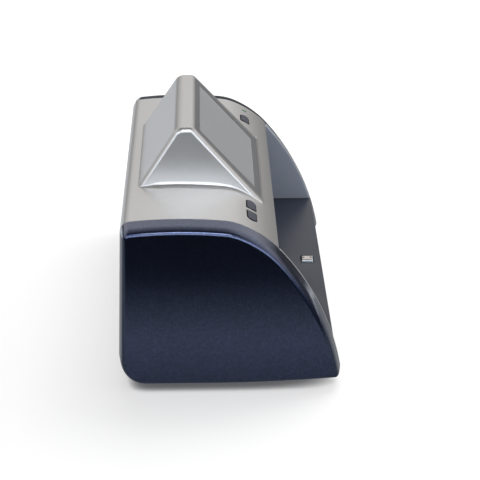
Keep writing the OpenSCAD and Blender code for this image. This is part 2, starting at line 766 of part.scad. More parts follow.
module chamber_wall() across(chamber_half, frame_in) intersection() {
    outline(rim_step);
    union() {
        block(-body_d, -chamber_back, floor_z, ceiling_z);
        block(-body_d, -hood_reach - fit_gap, floor_z, cap_h);
    }
}
module left_chamber_wall() color(lining) seat() mirror([1, 0, 0]) chamber_wall();
module right_chamber_wall() color(lining) seat() chamber_wall();
module chamber_back_wall() color(lining) seat()
    cuboid([-chamber_half + fit_gap, chamber_half - fit_gap], [-chamber_back - lining_t, -chamber_back],
        [floor_z, ceiling_z]);

module sensor_post(p, top) translate([p[0], -p[1], ceiling_z + lining_t / 2])
    cylinder(h = top - ceiling_z - lining_t / 2, r = sensor_post_r, $fn = 24);
module chamber_ceiling() color(lining) seat() difference() {
    union() {
        cuboid([-frame_in + fit_gap, frame_in - fit_gap], [-hood_reach + lip_t + fit_gap, -chamber_back],
            [ceiling_z, ceiling_top]);
        for (p = camera_posts) sensor_post(p, camera_board_z);
        for (p = lamp_posts) sensor_post(p, lamp_board_z);
        both_sides() sensor_post([uv_half - sensor_edge, uv_y], uv_board_z);
    }
    translate([0, -camera_y, ceiling_z - 1]) cylinder(h = lining_t + 2, r = camera_r - 1);
    for (p = infrared_places) translate([p[0], -p[1], ceiling_z - 1])
        cylinder(h = lining_t + 2, r = lamp_r + lamp_play, $fn = 32);
    cuboid([-uv_window_half, uv_window_half], [-uv_y - uv_window_d / 2, -uv_y + uv_window_d / 2],
        [ceiling_z - 1, ceiling_top + 1]);
    for (p = camera_posts) translate([p[0], -p[1], camera_board_z - board_bite - 2])
        cylinder(h = board_bite + 3, r = pilot_r, $fn = 24);
}

bezel_gap = 0.1;
module screen_frame() color("#6c6c6e") seat() on_screen() difference() {
    translate([0, 0, -bezel_t]) linear_extrude(bezel_t) bezel_outline(bezel_gap);
    view_window(0, -3, 1);
}
// How far the pane's raised face lies below the frame's, and its gap to the frame's window
pane_sink = 0.3;
pane_side_gap = 0.1;
module screen_pane() color([0.8, 0.85, 0.85, 0.4]) seat() on_screen() union() {
    view_window(view_lap, gasket_out, pane_out);
    view_window(-pane_side_gap, pane_out - pane_t / 2, -pane_sink);
}
gasket_rim = 0.4;
module display_gasket() color(black) seat() on_screen() difference() {
    view_window(view_lap, display_out, gasket_out);
    view_window(gasket_rim, display_out - 1, gasket_out + 1);
}
module display_panel() color("#98989a") seat() on_screen() view_window(view_lap, display_back, display_out);

display_board_half = view_w / 2 - 6;
display_board_v = 7;
// How much shorter the display's board is than the visible display
display_board_less = 12.4;
display_board_d = view_h - display_board_less;
spacer_inset = 5;
spacer_r = 2.2;
display_posts = [for (sx = [-1, 1]) for (v = [spacer_inset, display_board_d - spacer_inset])
    [sx * (display_board_half - spacer_inset), -display_board_v - v]];
module display_spacers() color("#d8d8d4") seat() on_screen() for (p = display_posts)
    translate([p[0], p[1], display_board_top]) cylinder(h = display_gap, r = spacer_r, $fn = 24);
module display_board() color(circuit_green) seat() on_screen()
    translate([-display_board_half, -display_board_v - display_board_d, display_board_top - board_t])
        cube([2 * display_board_half, display_board_d, board_t]);

// The flat cable climbs behind the chamber and leans over to the display's board
cable_x = -30;
cable_y = 30;
cable_v = 16;
cable_end = screen_point(cable_v, display_board_top - board_t);
cable_bend = screen_point(cable_v, display_board_top - board_t - 5);
cable_route = [[-cable_y, board_top + connector_h], [-cable_y, cap_h - 4], [-cable_y - 1, cap_h + 1],
    [-cable_y - 5, cap_h + 5.4], [-cable_y - 11, cap_h + 8.6], cable_bend, cable_end];
function side_shift(p, q, d) = let (u = (q - p) / norm(q - p)) [-u[1], u[0]] * d;
function shifted(route, d) = [for (k = [0:len(route) - 1])
    route[k] + side_shift(route[max(k - 1, 0)], route[min(k + 1, len(route) - 1)], d)];
module display_cable() color("#d9d4c8") seat() across(cable_x - cable_w / 2, cable_x + cable_w / 2)
    polygon(concat(shifted(cable_route, cable_t / 2), [for (k = [len(cable_route) - 1:-1:0])
        shifted(cable_route, -cable_t / 2)[k]]));

module power_key() color("#5c5e66") seat() at_power_key() key_cap();
module left_function_key() color("#5c5e66") seat() at_left_key() key_cap();
module right_function_key() color("#5c5e66") seat() at_right_key() key_cap();
module power_plunger() color(black) seat() at_power_key() plunger();
module left_function_plunger() color(black) seat() at_left_key() plunger();
module right_function_plunger() color(black) seat() at_right_key() plunger();
module key_switches() color(steel) seat() {
    at_power_key() key_switch();
    at_right_key() key_switch();
    at_left_key() key_switch();
}
module power_key_board() color(circuit_green) seat()
    key_board(power_posts[0] - key_board_end, light_x + key_board_end + 1, power_posts);
module function_key_board() color(circuit_green) seat()
    key_board(function_posts[0] - key_board_end, function_posts[1] + key_board_end, function_posts);
module power_light_lens() color("#3c8c5a") seat() at_brow(light_x) {
    translate([0, 0, key_board_top + light_chip_h])
        linear_extrude(brow_r + light_proud - key_board_top - light_chip_h) light_bar(0);
    translate([0, 0, flange_top - flange_t]) linear_extrude(flange_t) light_bar(light_lap);
}
module power_light_chip() color("#e6e2d0") seat() at_brow(light_x)
    translate([-light_chip_w / 2, -light_chip_d / 2, key_board_top])
        cube([light_chip_w, light_chip_d, light_chip_h]);

module face_block(z0, z1) cuboid([-head_w / 2 + face_lip, head_w / 2 - face_rim],
    [-head_d / 2 + face_side, head_d / 2 - face_side], [floor_z + head_proud + z0, floor_z + head_proud + z1]);
module magnetic_head() color(steel) seat() translate(head_c) difference() {
    cuboid([-head_w / 2, head_w / 2], [-head_d / 2, head_d / 2], [head_z, floor_z + head_proud]);
    face_block(-face_t - face_sink, 1);
}
module head_face() color("#d9cdb4") seat() translate(head_c) face_block(-face_t - face_sink, -face_sink);
module head_holder() color(black) seat() translate(head_c) difference() {
    union() {
        cuboid([-head_w / 2, head_w / 2], [-head_d / 2, head_d / 2], [holder_z, head_z]);
        cuboid([-head_w / 2 - holder_ear, head_w / 2 + holder_ear], [-head_d / 2, head_d / 2],
            [holder_z, holder_z + ear_h]);
    }
    translate([0, 0, holder_z - 1]) cylinder(h = 1 + spring_pocket, r = spring_r + spring_wire + 0.4);
}
module head_guide() color("#3a3c40") seat() translate(head_c) difference() {
    ear_w = head_w / 2 + holder_ear;
    union() {
        cuboid([-ear_w - guide_wall, ear_w + guide_wall],
            [-head_d / 2 - guide_side, head_d / 2 + guide_side],
            [guide_floor_z - guide_floor_t, floor_z - floor_t]);
        cuboid([-guide_screw_x - head_d / 2, guide_screw_x + head_d / 2], [-head_d / 2, head_d / 2],
            [guide_ear_z - guide_ear_t, guide_ear_z]);
    }
    cuboid([-head_w / 2 - guide_gap, head_w / 2 + guide_gap], [-head_d / 2 - guide_gap, head_d / 2 + guide_gap],
        [guide_floor_z, floor_z]);
    cuboid([-ear_w - guide_gap, ear_w + guide_gap], [-head_d / 2 - guide_gap, head_d / 2 + guide_gap],
        [guide_floor_z, holder_z + ear_h + 0.3]);
    both_sides() translate([guide_screw_x, 0, guide_ear_z - guide_ear_t - 1])
        cylinder(h = guide_ear_t + 2, r = board_hole_r, $fn = 24);
    translate([0, 0, guide_floor_z - guide_floor_t - 1])
        cylinder(h = guide_floor_t + 2, r = spring_r - spring_wire - 0.65, $fn = 24);
}
// A coil swept along its own turns, eight sides round the wire
spring_turns = 3.5;
spring_rings = 56;
spring_low = guide_floor_z + spring_wire;
spring_high = holder_z + spring_pocket - spring_wire;
function spring_ring(k) = let (
    t = k / spring_rings,
    a = 360 * spring_turns * t,
    z = spring_low + (spring_high - spring_low) * t
) [for (s = [0:7]) let (r = spring_r + spring_wire * cos(45 * s))
    [r * cos(a), r * sin(a), z + spring_wire * sin(45 * s)]];
module head_spring() color(steel) seat() translate(head_c) polyhedron(
    points = [for (k = [0:spring_rings]) for (p = spring_ring(k)) p],
    faces = concat(
        [[for (s = [0:7]) s]],
        [for (k = [0:spring_rings - 1]) for (s = [0:7]) let (m = (s + 1) % 8)
            [k * 8 + s, (k + 1) * 8 + s, (k + 1) * 8 + m, k * 8 + m]],
        [[for (s = [7:-1:0]) spring_rings * 8 + s]]));

module camera_board() color(circuit_green) seat() difference() {
    cuboid([-camera_half, camera_half], [-camera_y - camera_half, -camera_y + camera_half],
        [camera_board_z, camera_board_z + board_t]);
    for (p = camera_posts) translate([p[0], -p[1], camera_board_z - 1])
        cylinder(h = board_t + 2, r = board_hole_r, $fn = 24);
}
module camera_lens() color(black) seat() translate([0, -camera_y, 0]) difference() {
    translate([0, 0, ceiling_top + lens_gap]) cylinder(h = camera_lift - lens_gap, r = camera_r);
    translate([0, 0, ceiling_top]) cylinder(h = lens_gap + 1.5, r1 = lens_mouth_r, r2 = lens_pupil_r);
}
module infrared_board() color(circuit_green) seat() difference() {
    cuboid([-lamp_half, lamp_half], [-camera_y - lamp_depth, -camera_y + lamp_depth],
        [lamp_board_z, lamp_board_z + board_t]);
    translate([0, -camera_y, lamp_board_z - 1]) cylinder(h = board_t + 2, r = camera_r + 2 * fit_gap);
    for (p = camera_posts) translate([p[0], -p[1], lamp_board_z - 1])
        cylinder(h = board_t + 2, r = sensor_post_r + 2 * fit_gap, $fn = 24);
}
// Each lamp stands down from its board through the ceiling
module lamp(top, drop) translate([0, 0, top - drop + lamp_r]) {
    cylinder(h = drop - lamp_r, r = lamp_r, $fn = 32);
    difference() {
        sphere(r = lamp_r, $fn = 32);
        cylinder(h = 2 * lamp_r, r = 2 * lamp_r);
    }
}
module infrared_lamps() color("#4a4450") seat()
    for (p = infrared_places) translate([p[0], -p[1], 0]) lamp(lamp_board_z, lamp_drop);
module ultraviolet_board() color(circuit_green) seat()
    cuboid([-uv_half, uv_half], [-uv_y - uv_board_half_d, -uv_y + uv_board_half_d],
        [uv_board_z, uv_board_z + board_t]);
module ultraviolet_lamps() color("#b8b0d8") seat()
    for (x = uv_places) translate([x, -uv_y, 0]) lamp(uv_board_z, uv_drop);
module ultraviolet_filter() color([0.25, 0.18, 0.4, 0.8]) seat()
    cuboid([-uv_window_half - filter_lap, uv_window_half + filter_lap],
        [-uv_y - uv_window_d / 2 - filter_lap, -uv_y + uv_window_d / 2 + filter_lap],
        [ceiling_top, ceiling_top + filter_t]);

jack_nose_r = 4;
jack_lift = 1.4;
jack_pin_r = 1;
jack_pin_sink = 1;
jack_deep = 10;
jack_z = board_top + jack_nose_r + jack_lift;
jack_back = back_at(board_top, wall) + fit_gap;
// The nose ends where the heel's curve passes under it
jack_nose_y = back_at(jack_z - jack_nose_r, 0);
module board_block(x, y, w, d, h) translate([x, -board_y - y, board_top])
    translate([-w / 2, -d / 2, 0]) cube([w, d, h]);

module main_board() color(circuit_green) seat() difference() {
    cuboid([-board_w / 2, board_w / 2], [-board_y - board_d, -board_y], [board_z, board_top]);
    for (p = board_posts) translate([p[0], -p[1], board_z - 1])
        cylinder(h = board_t + 2, r = board_hole_r, $fn = 24);
}
shield_y = 54;
module processor_shield() color(steel) seat() board_block(0, shield_y, shield_w, shield_d, shield_h);
capacitor_x = 58;
capacitor_y = 36;
capacitor_pitch = 12;
module board_capacitors() color("#2c3a66") seat()
    for (p = [[0, 0], [1, 0], [1, 1]])
        translate([capacitor_x + p[0] * capacitor_pitch, -board_y - capacitor_y - p[1] * capacitor_pitch,
            board_top])
            cylinder(h = capacitor_h, r = capacitor_r, $fn = 32);
cable_grip = 2;
wire_x = 36;
module board_connectors() color("#e8e4d8") seat() {
    board_block(cable_x, cable_y - board_y, cable_w + 2 * cable_grip, connector_d, connector_h);
    for (x = [cable_x - wire_x, cable_x + 2 * wire_x])
        board_block(x, cable_y - board_y, connector_w, connector_d, connector_h);
}
chip_x = 36;
chip_y = 60;
chip_pitch = 20;
module board_chips() color(black) seat() {
    board_block(-chip_x - chip_w, shield_y, chip_w, chip_w, chip_h);
    board_block(chip_x, chip_y, chip_w / 2, chip_w / 2, chip_h);
    board_block(chip_x, chip_y - chip_pitch, chip_w / 2, chip_w / 2, chip_h);
}
module power_socket() color(black) seat() difference() {
    union() {
        cuboid([jack_x - jack_w / 2, jack_x + jack_w / 2], [-jack_back - jack_len, -jack_back],
            [board_top, jack_z + jack_nose_r + jack_pin_r / 2]);
        translate([jack_x, -jack_nose_y, jack_z]) rotate([90, 0, 0]) cylinder(h = jack_back, r = jack_nose_r);
    }
    translate([jack_x, -jack_nose_y, jack_z]) rotate([90, 0, 0]) difference() {
        translate([0, 0, -1]) cylinder(h = jack_deep + 1, r = jack_bore_r);
        translate([0, 0, jack_pin_sink]) cylinder(h = jack_deep, r = jack_pin_r, $fn = 24);
    }
}
buzzer_x = 64;
buzzer_y = 70;
buzzer_hole_r = 1.2;
buzzer_hole_h = 2;
module buzzer() color(black) seat() translate([-buzzer_x, -board_y - buzzer_y, board_top]) difference() {
    cylinder(h = buzzer_h, r = buzzer_r);
    translate([0, 0, buzzer_h - buzzer_hole_h]) cylinder(h = buzzer_hole_h + 1, r = buzzer_hole_r, $fn = 24);
}

module case_screws() color(steel) seat() both_sides() {
    for (p = [rear_post, front_post]) translate([p[0], -p[1], case_head_z(p[1])])
        case_screw(post_foot_z - case_head_z(p[1]) - case_head_h + case_bite);
    for (p = cap_posts) translate([frame_in - case_head_h, p[0], p[1]]) rotate([0, 90, 0])
        case_screw(frame_t + cap_bite);
}
module board_screws() color(steel) seat() {
    for (p = board_posts) translate([p[0], -p[1], board_top + board_head_h])
        mirror([0, 0, 1]) board_screw(board_t + board_bite);
    for (p = camera_posts) translate([p[0], -p[1], camera_board_z + board_t + board_head_h])
        mirror([0, 0, 1]) board_screw(board_t + board_bite);
    for (x = concat(function_posts, power_posts)) at_brow(x)
        translate([0, 0, key_board_top - board_t - board_head_h]) board_screw(board_t + board_bite);
    translate(head_c) both_sides() translate([guide_screw_x, 0, guide_ear_z - guide_ear_t - board_head_h])
        board_screw(guide_ear_t + board_bite);
}

top_housing();
left_side_frame();
right_side_frame();
left_end_cap();
right_end_cap();
base_pan();
rubber_feet();
chamber_floor();
left_chamber_wall();
right_chamber_wall();
chamber_back_wall();
chamber_ceiling();
screen_frame();
screen_pane();
display_gasket();
display_panel();
display_spacers();
display_board();
display_cable();
power_key();
left_function_key();
right_function_key();
power_plunger();
left_function_plunger();
right_function_plunger();
key_switches();
power_key_board();
function_key_board();
power_light_lens();
power_light_chip();
magnetic_head();
head_face();
head_holder();
head_guide();
head_spring();
camera_board();
camera_lens();
infrared_board();
infrared_lamps();
ultraviolet_board();
ultraviolet_lamps();
ultraviolet_filter();
main_board();
processor_shield();
board_capacitors();
board_connectors();
board_chips();
power_socket();
buzzer();
case_screws();
board_screws();
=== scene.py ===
"""Looks for the table-top banknote checker: its finished shells, screen, keys and head, and the
material of every surface."""
import math
from math import acos, asin, atan, atan2, ceil, degrees, pi, radians, sqrt

import bmesh
import bpy
import numpy as np
from mathutils import Matrix, Vector


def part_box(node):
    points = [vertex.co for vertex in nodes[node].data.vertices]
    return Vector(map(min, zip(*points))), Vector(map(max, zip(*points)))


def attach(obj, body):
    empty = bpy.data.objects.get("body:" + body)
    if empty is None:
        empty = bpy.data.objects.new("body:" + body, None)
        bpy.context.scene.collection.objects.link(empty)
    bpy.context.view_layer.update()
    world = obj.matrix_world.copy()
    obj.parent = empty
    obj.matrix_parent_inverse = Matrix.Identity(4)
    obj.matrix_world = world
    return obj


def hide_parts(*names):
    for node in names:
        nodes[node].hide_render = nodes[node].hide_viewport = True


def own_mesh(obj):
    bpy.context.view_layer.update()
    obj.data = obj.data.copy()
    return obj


scene = bpy.context.scene
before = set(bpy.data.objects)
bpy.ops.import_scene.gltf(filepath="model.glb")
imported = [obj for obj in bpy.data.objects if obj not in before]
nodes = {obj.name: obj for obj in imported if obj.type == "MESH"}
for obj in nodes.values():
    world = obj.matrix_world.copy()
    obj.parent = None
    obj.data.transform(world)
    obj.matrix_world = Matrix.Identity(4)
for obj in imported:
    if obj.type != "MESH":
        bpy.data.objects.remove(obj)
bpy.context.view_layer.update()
MM = 0.001

# ---- sizes, in millimetres
# y is measured from the back face (0) to the front (negative), z from the caps' lowest edge
BODY_W, BODY_D, CAP_H, FOOT_H, WALL = 278.0, 145.0, 112.5, 2.0, 2.4
CAP_T, DRAFT, CAP_ROLL, CAP_BEND, CAP_BOW = 15.6, 7.0, 2.2, 5.0, 0.020
FRAME_X = BODY_W / 2 - CAP_T
FRAME_IN = FRAME_X - 2.0
GAP = 0.15
CROWN_Y, CROWN_R, CROWN_TURN = 40.0, 300.0, 5.5
SHOULDER_R, SHOULDER_TURN = 38.0, 23.0
BROW_R, BROW_TURN = 72.0, 49.0
TOE_R, TOE_LEAST, TOE_LIFT, LIFT_START = 4.5, 0.8, 3.4, 60.0
HEEL_R, BACK_R, BACK_LEAN = 18.0, 7.0, 1.8
KEY_TURN = 29.6
HUMP_LEN, HUMP_LEAN, HUMP_TOP, RIDGE_FRONT_R, RIDGE_BACK_R = 128.2, 6.0, 151.0, 4.8, 8.0
HUMP_EDGE, HUMP_TOE_R = 3.0, 3.6
HUMP_BACK_TILT, HUMP_BACK_Y = 56.5, 13.4
TILT, SCREEN_Y, SCREEN_Z = 47.8, 50.4, 149.8
BEZEL_START, BEZEL_LEN, BEZEL_T, BEZEL_MARGIN, BEZEL_TAPER, BEZEL_RIM = 0.6, 65.5, 1.5, 5.6, 3.2, 1.0
VIEW_W, VIEW_H, VIEW_START, VIEW_LAP = 98.0, 55.2, 5.5, 1.8
KEY_W, KEY_D, KEY_PROUD, KEY_RIM = 14.4, 7.0, 0.5, 0.45
PAIR_X, PAIR_HALF, POWER_X, LIGHT_X = 91.0, 2.3, 93.9, 113.0
LIGHT_W, LIGHT_D = 1.6, 4.0
LIP_T, LIP_H, FLOOR_Z, FLOOR_T = 2.0, 6.0, 30.0, 2.4
HEAD_X, HEAD_W, HEAD_D = 0.0, 10.6, 8.2
HOLDER_WALL, HOLDER_PLAY, FLOOR_PLAY = 2.0, 0.7, 0.3
HOOD_MARGIN, SEAM_Z = 16.5, 10.0
SIDES = (("left", -1), ("right", 1))
SHARP = 34.0                      # an edge that turns by more degrees than this stays sharp


def sin(a):
    return math.sin(radians(a))


def cos(a):
    return math.cos(radians(a))


def tan(a):
    return math.tan(radians(a))


def mm(x, y, z):
    """A point given in millimetres, in metres."""
    return Vector((x * MM, y * MM, z * MM))


def unit(v):
    return v / np.linalg.norm(v)


def seat(x, y, z):
    """A point of the solids' own frame, in metres in the object's frame."""
    return Vector((x, y + BODY_D / 2, z + FOOT_H)) * MM


def normal(a):
    """Outward normal (y, z) of the end profile where its slope is a: 0 on top, 90 at the front."""
    return np.array((-sin(a), cos(a)))


# ---- the end profile, a chain of arcs
def turn_of(base, tip):
    """Slope at which the profile's normal points from base to tip."""
    return degrees(atan2(base[0] - tip[0], tip[1] - base[1]))


crown_c = np.array((-CROWN_Y, CAP_H - CROWN_R))
heel_c = np.array((-HEEL_R, HEEL_R))
back_w = heel_c + (HEEL_R - BACK_R) * normal(BACK_LEAN - 90) - crown_c
back_s = back_w @ normal(BACK_LEAN)
back_run = sqrt(back_s ** 2 - back_w @ back_w + (CROWN_R - BACK_R) ** 2) - back_s
back_c = back_w + crown_c + back_run * normal(BACK_LEAN)
back_turn = -turn_of(crown_c, back_c)
shoulder_c = crown_c + (CROWN_R - SHOULDER_R) * normal(CROWN_TURN)
brow_c = shoulder_c + (SHOULDER_R - BROW_R) * normal(SHOULDER_TURN)
brow_end = brow_c + BROW_R * normal(BROW_TURN)
toe_c = np.array((-BODY_D + TOE_R, TOE_LIFT + TOE_R))
front_d = toe_c - brow_end
front_r = (front_d @ front_d - TOE_R ** 2) / (-2 * (front_d @ normal(BROW_TURN) + TOE_R))
front_c = brow_end - front_r * normal(BROW_TURN)
lift_run = BODY_D - TOE_R - LIFT_START
lift_r = (lift_run ** 2 + toe_c[1] ** 2 - TOE_R ** 2) / (2 * TOE_LIFT)
lift_c = np.array((-LIFT_START, lift_r))


def toe_middle(inset):
    """Middle of the toe's circle touching the front curve and the bottom edge, both moved in."""
    w = lift_c - front_c
    d, r = np.linalg.norm(w), front_r - inset
    a = (r * r - (lift_r - inset) ** 2 + d * d) / (2 * d)
    return front_c + (a * w + sqrt(r * r - a * a) * np.array((-w[1], w[0]))) / d


def arcs(inset):
    """The profile moved in by inset: (centre, radius, first and last slope) of each arc."""
    s = max(TOE_R, inset + TOE_LEAST)
    c = toe_middle(s)
    front_turn = turn_of(front_c, c)
    lift_turn = 180 - degrees(asin((-c[0] - LIFT_START) / (lift_r - s)))
    return ((back_c, BACK_R - inset, BACK_LEAN - 90, -back_turn),
            (crown_c, CROWN_R - inset, -back_turn, CROWN_TURN),
            (shoulder_c, SHOULDER_R - inset, CROWN_TURN, SHOULDER_TURN),
            (brow_c, BROW_R - inset, SHOULDER_TURN, BROW_TURN),
            (front_c, front_r - inset, BROW_TURN, front_turn),
            (c, s - inset, front_turn, lift_turn),
            (lift_c, lift_r - inset, lift_turn, 180),
            (heel_c, HEEL_R - inset, 180, 270 + BACK_LEAN))


HOOD_REACH = BROW_R * sin(KEY_TURN) - brow_c[0] + HOOD_MARGIN
CEILING_Z = brow_c[1] + sqrt(BROW_R ** 2 - (HOOD_REACH + brow_c[0]) ** 2) - LIP_H


def outline(inset, step=2.0):
    """The profile moved in by inset, as (y, z) rows; the number of rows doesn't depend on inset."""
    points = []
    for (centre, radius, start, end), (_, _, a0, a1) in zip(arcs(inset), arcs(0)):
        count = max(3, ceil(abs(a1 - a0) / step))
        for k in range(1 if points and a0 != 180 else 0, count + 1):
            points.append(centre + radius * normal(start + (end - start) * k / count))
    return np.array(points)


def surface(y):
    """Height and slope of the profile's upper side at y."""
    for centre, radius, start, end in arcs(0)[:5]:
        s = (centre[0] - y) / radius
        if abs(s) <= 1:
            a = degrees(asin(s))
            if start - 1e-6 <= a <= end + 1e-6:
                return centre[1] + radius * cos(a), a
    return surface(y + 0.01)


def back_at(z, inset):
    """Distance from the back face to the back wall moved in by inset, at a height."""
    if z < HEEL_R + (HEEL_R - inset) * sin(BACK_LEAN):
        return HEEL_R - sqrt((HEEL_R - inset) ** 2 - (HEEL_R - z) ** 2)
    return HEEL_R - (HEEL_R - inset) / cos(BACK_LEAN) + (z - HEEL_R) * tan(BACK_LEAN)


FRONT_WALL_Y = sqrt(front_r ** 2 - (FLOOR_Z - front_c[1]) ** 2) - front_c[0] - FLOOR_PLAY
HEAD_Y = FRONT_WALL_Y - WALL - HOLDER_PLAY - HOLDER_WALL - HEAD_D / 2


# ---- mesh helpers
def add_object(name, data):
    """An object that holds a mesh, a light or the camera."""
    obj = bpy.data.objects.new(name, data)
    scene.collection.objects.link(obj)
    return obj


def shade_smooth(bm, sharp):
    """Smooth shading, but for edges over the given angle."""
    limit = radians(sharp)
    for f in bm.faces:
        f.smooth = True
    for e in bm.edges:
        e.smooth = len(e.link_faces) == 2 and e.calc_face_angle(0.0) < limit


def merge(bm, near=1e-7, flat=0.0):
    """Joins points nearer than near metres, then faces that meet at less than flat degrees."""
    bmesh.ops.remove_doubles(bm, verts=bm.verts, dist=near)
    if flat:
        bmesh.ops.dissolve_limit(bm, angle_limit=radians(flat), verts=bm.verts, edges=bm.edges)


def from_bmesh(name, bm, sharp=SHARP, recalc=True):
    """A smooth-shaded object whose edges over the given angle stay sharp."""
    if recalc:
        bmesh.ops.recalc_face_normals(bm, faces=bm.faces)
    shade_smooth(bm, sharp)
    mesh = bpy.data.meshes.new(name)
    bm.to_mesh(mesh)
    bm.free()
    return add_object(name, mesh)


def settle(obj):
    """Turns what the modifiers make into the object's own mesh."""
    graph = bpy.context.evaluated_depsgraph_get()
    made, old = obj.evaluated_get(graph), obj.data
    mesh = bpy.data.meshes.new_from_object(made, preserve_all_data_layers=True, depsgraph=graph)
    obj.modifiers.clear()
    obj.data = mesh
    mesh.name = obj.name
    bpy.data.meshes.remove(old)
    return obj


def loft(rings, bm=None, shut=False):
    """Quads between rings of equal length, shut into a loop or closed by a face at each end."""
    bm = bmesh.new() if bm is None else bm
    rows = [[bm.verts.new(p) for p in ring] for ring in (rings + rings[:1] if shut else rings)]
    count = len(rows[0])
    for a, b in zip(rows, rows[1:]):
        for k in range(count):
            m = (k + 1) % count
            bm.faces.new((a[k], a[m], b[m], b[k]))
    if shut:
        merge(bm)
    else:
        bm.faces.new(rows[0][::-1])
        bm.faces.new(rows[-1])
    return bm


def ring_at(place, loop, z, flip=1):
    """A loop of (x, y) as points of a placed frame at height z; a flip of -1 mirrors it."""
    return [place @ mm(flip * x, y, z) for x, y in loop]


def prism(points, x0, x1, bevel=0.0):
    """A bmesh of a (y, z) polygon drawn out along X, its two rims bevelled."""
    bm = loft([[seat(x, *p) for p in points] for x in (x0, x1)])
    if bevel:
        bm.normal_update()
        rims = [e for e in bm.edges if any(len(f.verts) > 4 for f in e.link_faces)]
        bmesh.ops.bevel(bm, geom=rims, offset=bevel * MM, segments=2, affect="EDGES", profile=0.5)
    return bm


def cut(obj, tool, how="DIFFERENCE"):
    """Takes the tool's form away from an object, or adds it, and removes the tool."""
    m = obj.modifiers.new("cut", "BOOLEAN")
    m.operation, m.solver, m.object = how, "EXACT", tool
    settle(obj)
    bpy.data.objects.remove(tool)


def resharpen(obj, sharp=SHARP):
    """Cleans up what the cuts left, and sets the sharp edges again."""
    bm = bmesh.new()
    bm.from_mesh(obj.data)
    merge(bm, 2e-7, 0.15)
    shade_smooth(bm, sharp)
    bm.to_mesh(obj.data)
    bm.free()
    return obj


def weigh(obj):
    """Normals weighed by the area of the faces, so that large faces look flat."""
    m = obj.modifiers.new("weigh", "WEIGHTED_NORMAL")
    m.keep_sharp, m.weight = True, 50
    return settle(obj)


def soften(obj, width, segments=2):
    """Rounds every sharp edge by width millimetres."""
    m = obj.modifiers.new("round", "BEVEL")
    m.width, m.segments, m.limit_method = width * MM, segments, "ANGLE"
    m.angle_limit = radians(38.0)
    m.use_clamp_overlap, m.harden_normals = True, True
    return settle(obj)


def joined(name, *objs):
    """One object from several meshes."""
    bm = bmesh.new()
    for o in objs:
        bm.from_mesh(o.data)
    mesh = bpy.data.meshes.new(name)
    bm.to_mesh(mesh)
    bm.free()
    for o in objs:
        bpy.data.objects.remove(o)
    return add_object(name, mesh)


def paint(obj, *materials):
    obj.data.materials.clear()
    for m in materials:
        obj.data.materials.append(m)
    return obj


def paint_top(obj, place, top, sides, least):
    """Gives one material to the faces that look out of a placed frame, another to the rest."""
    paint(obj, top, sides)
    out = place.to_3x3() @ Vector((0, 0, 1))
    for face in obj.data.polygons:
        face.material_index = int(face.normal @ out < least)


def finished(obj, body, slot, *stands_for):
    """Sets the body that a piece rides on and hides the solids it stands for; the slot is not used."""
    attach(obj, body)
    if stands_for:
        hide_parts(*stands_for)
    return obj


def casing_piece(name, bm, sharp, finish, slot, *stands_for):
    """A piece of the casing, from its bmesh."""
    obj = weigh(from_bmesh(name, bm, sharp))
    finished(paint(obj, finish), "casing", slot, *stands_for)


def dress(node, name, material, slot, bevel=0.0, body="casing", segments=2):
    """A finished copy of a solid: its flat faces joined, smooth over curves, rounded at its edges."""
    bm = bmesh.new()
    bm.from_mesh(nodes[node].data)
    merge(bm, 2e-6, 0.4)
    obj = from_bmesh(name, bm, recalc=False)
    if bevel:
        soften(obj, bevel, segments)
    weigh(obj)
    paint(obj, material)
    return finished(obj, body, slot, node)


# ---- shader helpers
class Net:
    """Adds and joins nodes in one tree."""

    def __init__(self, tree, family="ShaderNode"):
        self.tree, self.family = tree, family

    def put(self, socket, value):
        """Joins a socket to another one, or sets its value."""
        if isinstance(value, bpy.types.NodeSocket):
            self.tree.links.new(value, socket)
        else:
            socket.default_value = value

    def add(self, kind, ins=None, **props):
        node = self.tree.nodes.new(kind)
        for key, value in props.items():
            setattr(node, key, value)
        for key, value in (ins or {}).items():
            self.put(node.inputs[key], value)
        return node

    def node(self, kind, ins=None, **props):
        return self.add(self.family + kind, ins, **props)

    def first(self, kind, ins=None, **props):
        """What comes out first of a new node."""
        return self.node(kind, ins, **props).outputs[0]

    def where(self, kind="Object"):
        return self.node("TexCoord").outputs[kind]

    def maths(self, how, a, b=0.0, clamp=False):
        return self.first("Math", {0: a, 1: b}, operation=how, use_clamp=clamp)

    def times(self, a, b):
        return self.maths("MULTIPLY", a, b)

    def ramp(self, value, low, high, to_low=0.0, to_high=1.0):
        ins = {0: value, 1: low, 2: high, 3: to_low, 4: to_high}
        return self.first("MapRange", ins, clamp=True)

    def blend(self, share, a, b):
        ins = {0: share, 6: a, 7: b}
        return self.node("Mix", ins, data_type="RGBA", blend_type="MIX").outputs[2]

    def either(self, share, a, b):
        """The first shader where share is 0, the second where it is 1."""
        return self.first("MixShader", {0: share, 1: a, 2: b})

    def source(self, kind, color, strength):
        return self.first(kind, {"Color": color, "Strength": strength})

    def noise(self, where, scale, detail=2.0, rough=0.5):
        ins = {"Vector": where, "Scale": scale, "Detail": detail, "Roughness": rough}
        return self.node("TexNoise", ins, noise_dimensions="3D").outputs["Fac"]

    def tint(self, color, change):
        """A colour made lighter by a share of itself."""
        share = self.maths("ADD", 1.0, change)
        return self.first("VectorMath", {0: color, "Scale": share}, operation="SCALE")

    def bump(self, strength, distance, height):
        ins = {"Strength": strength, "Distance": distance, "Height": height}
        return self.first("Bump", ins)


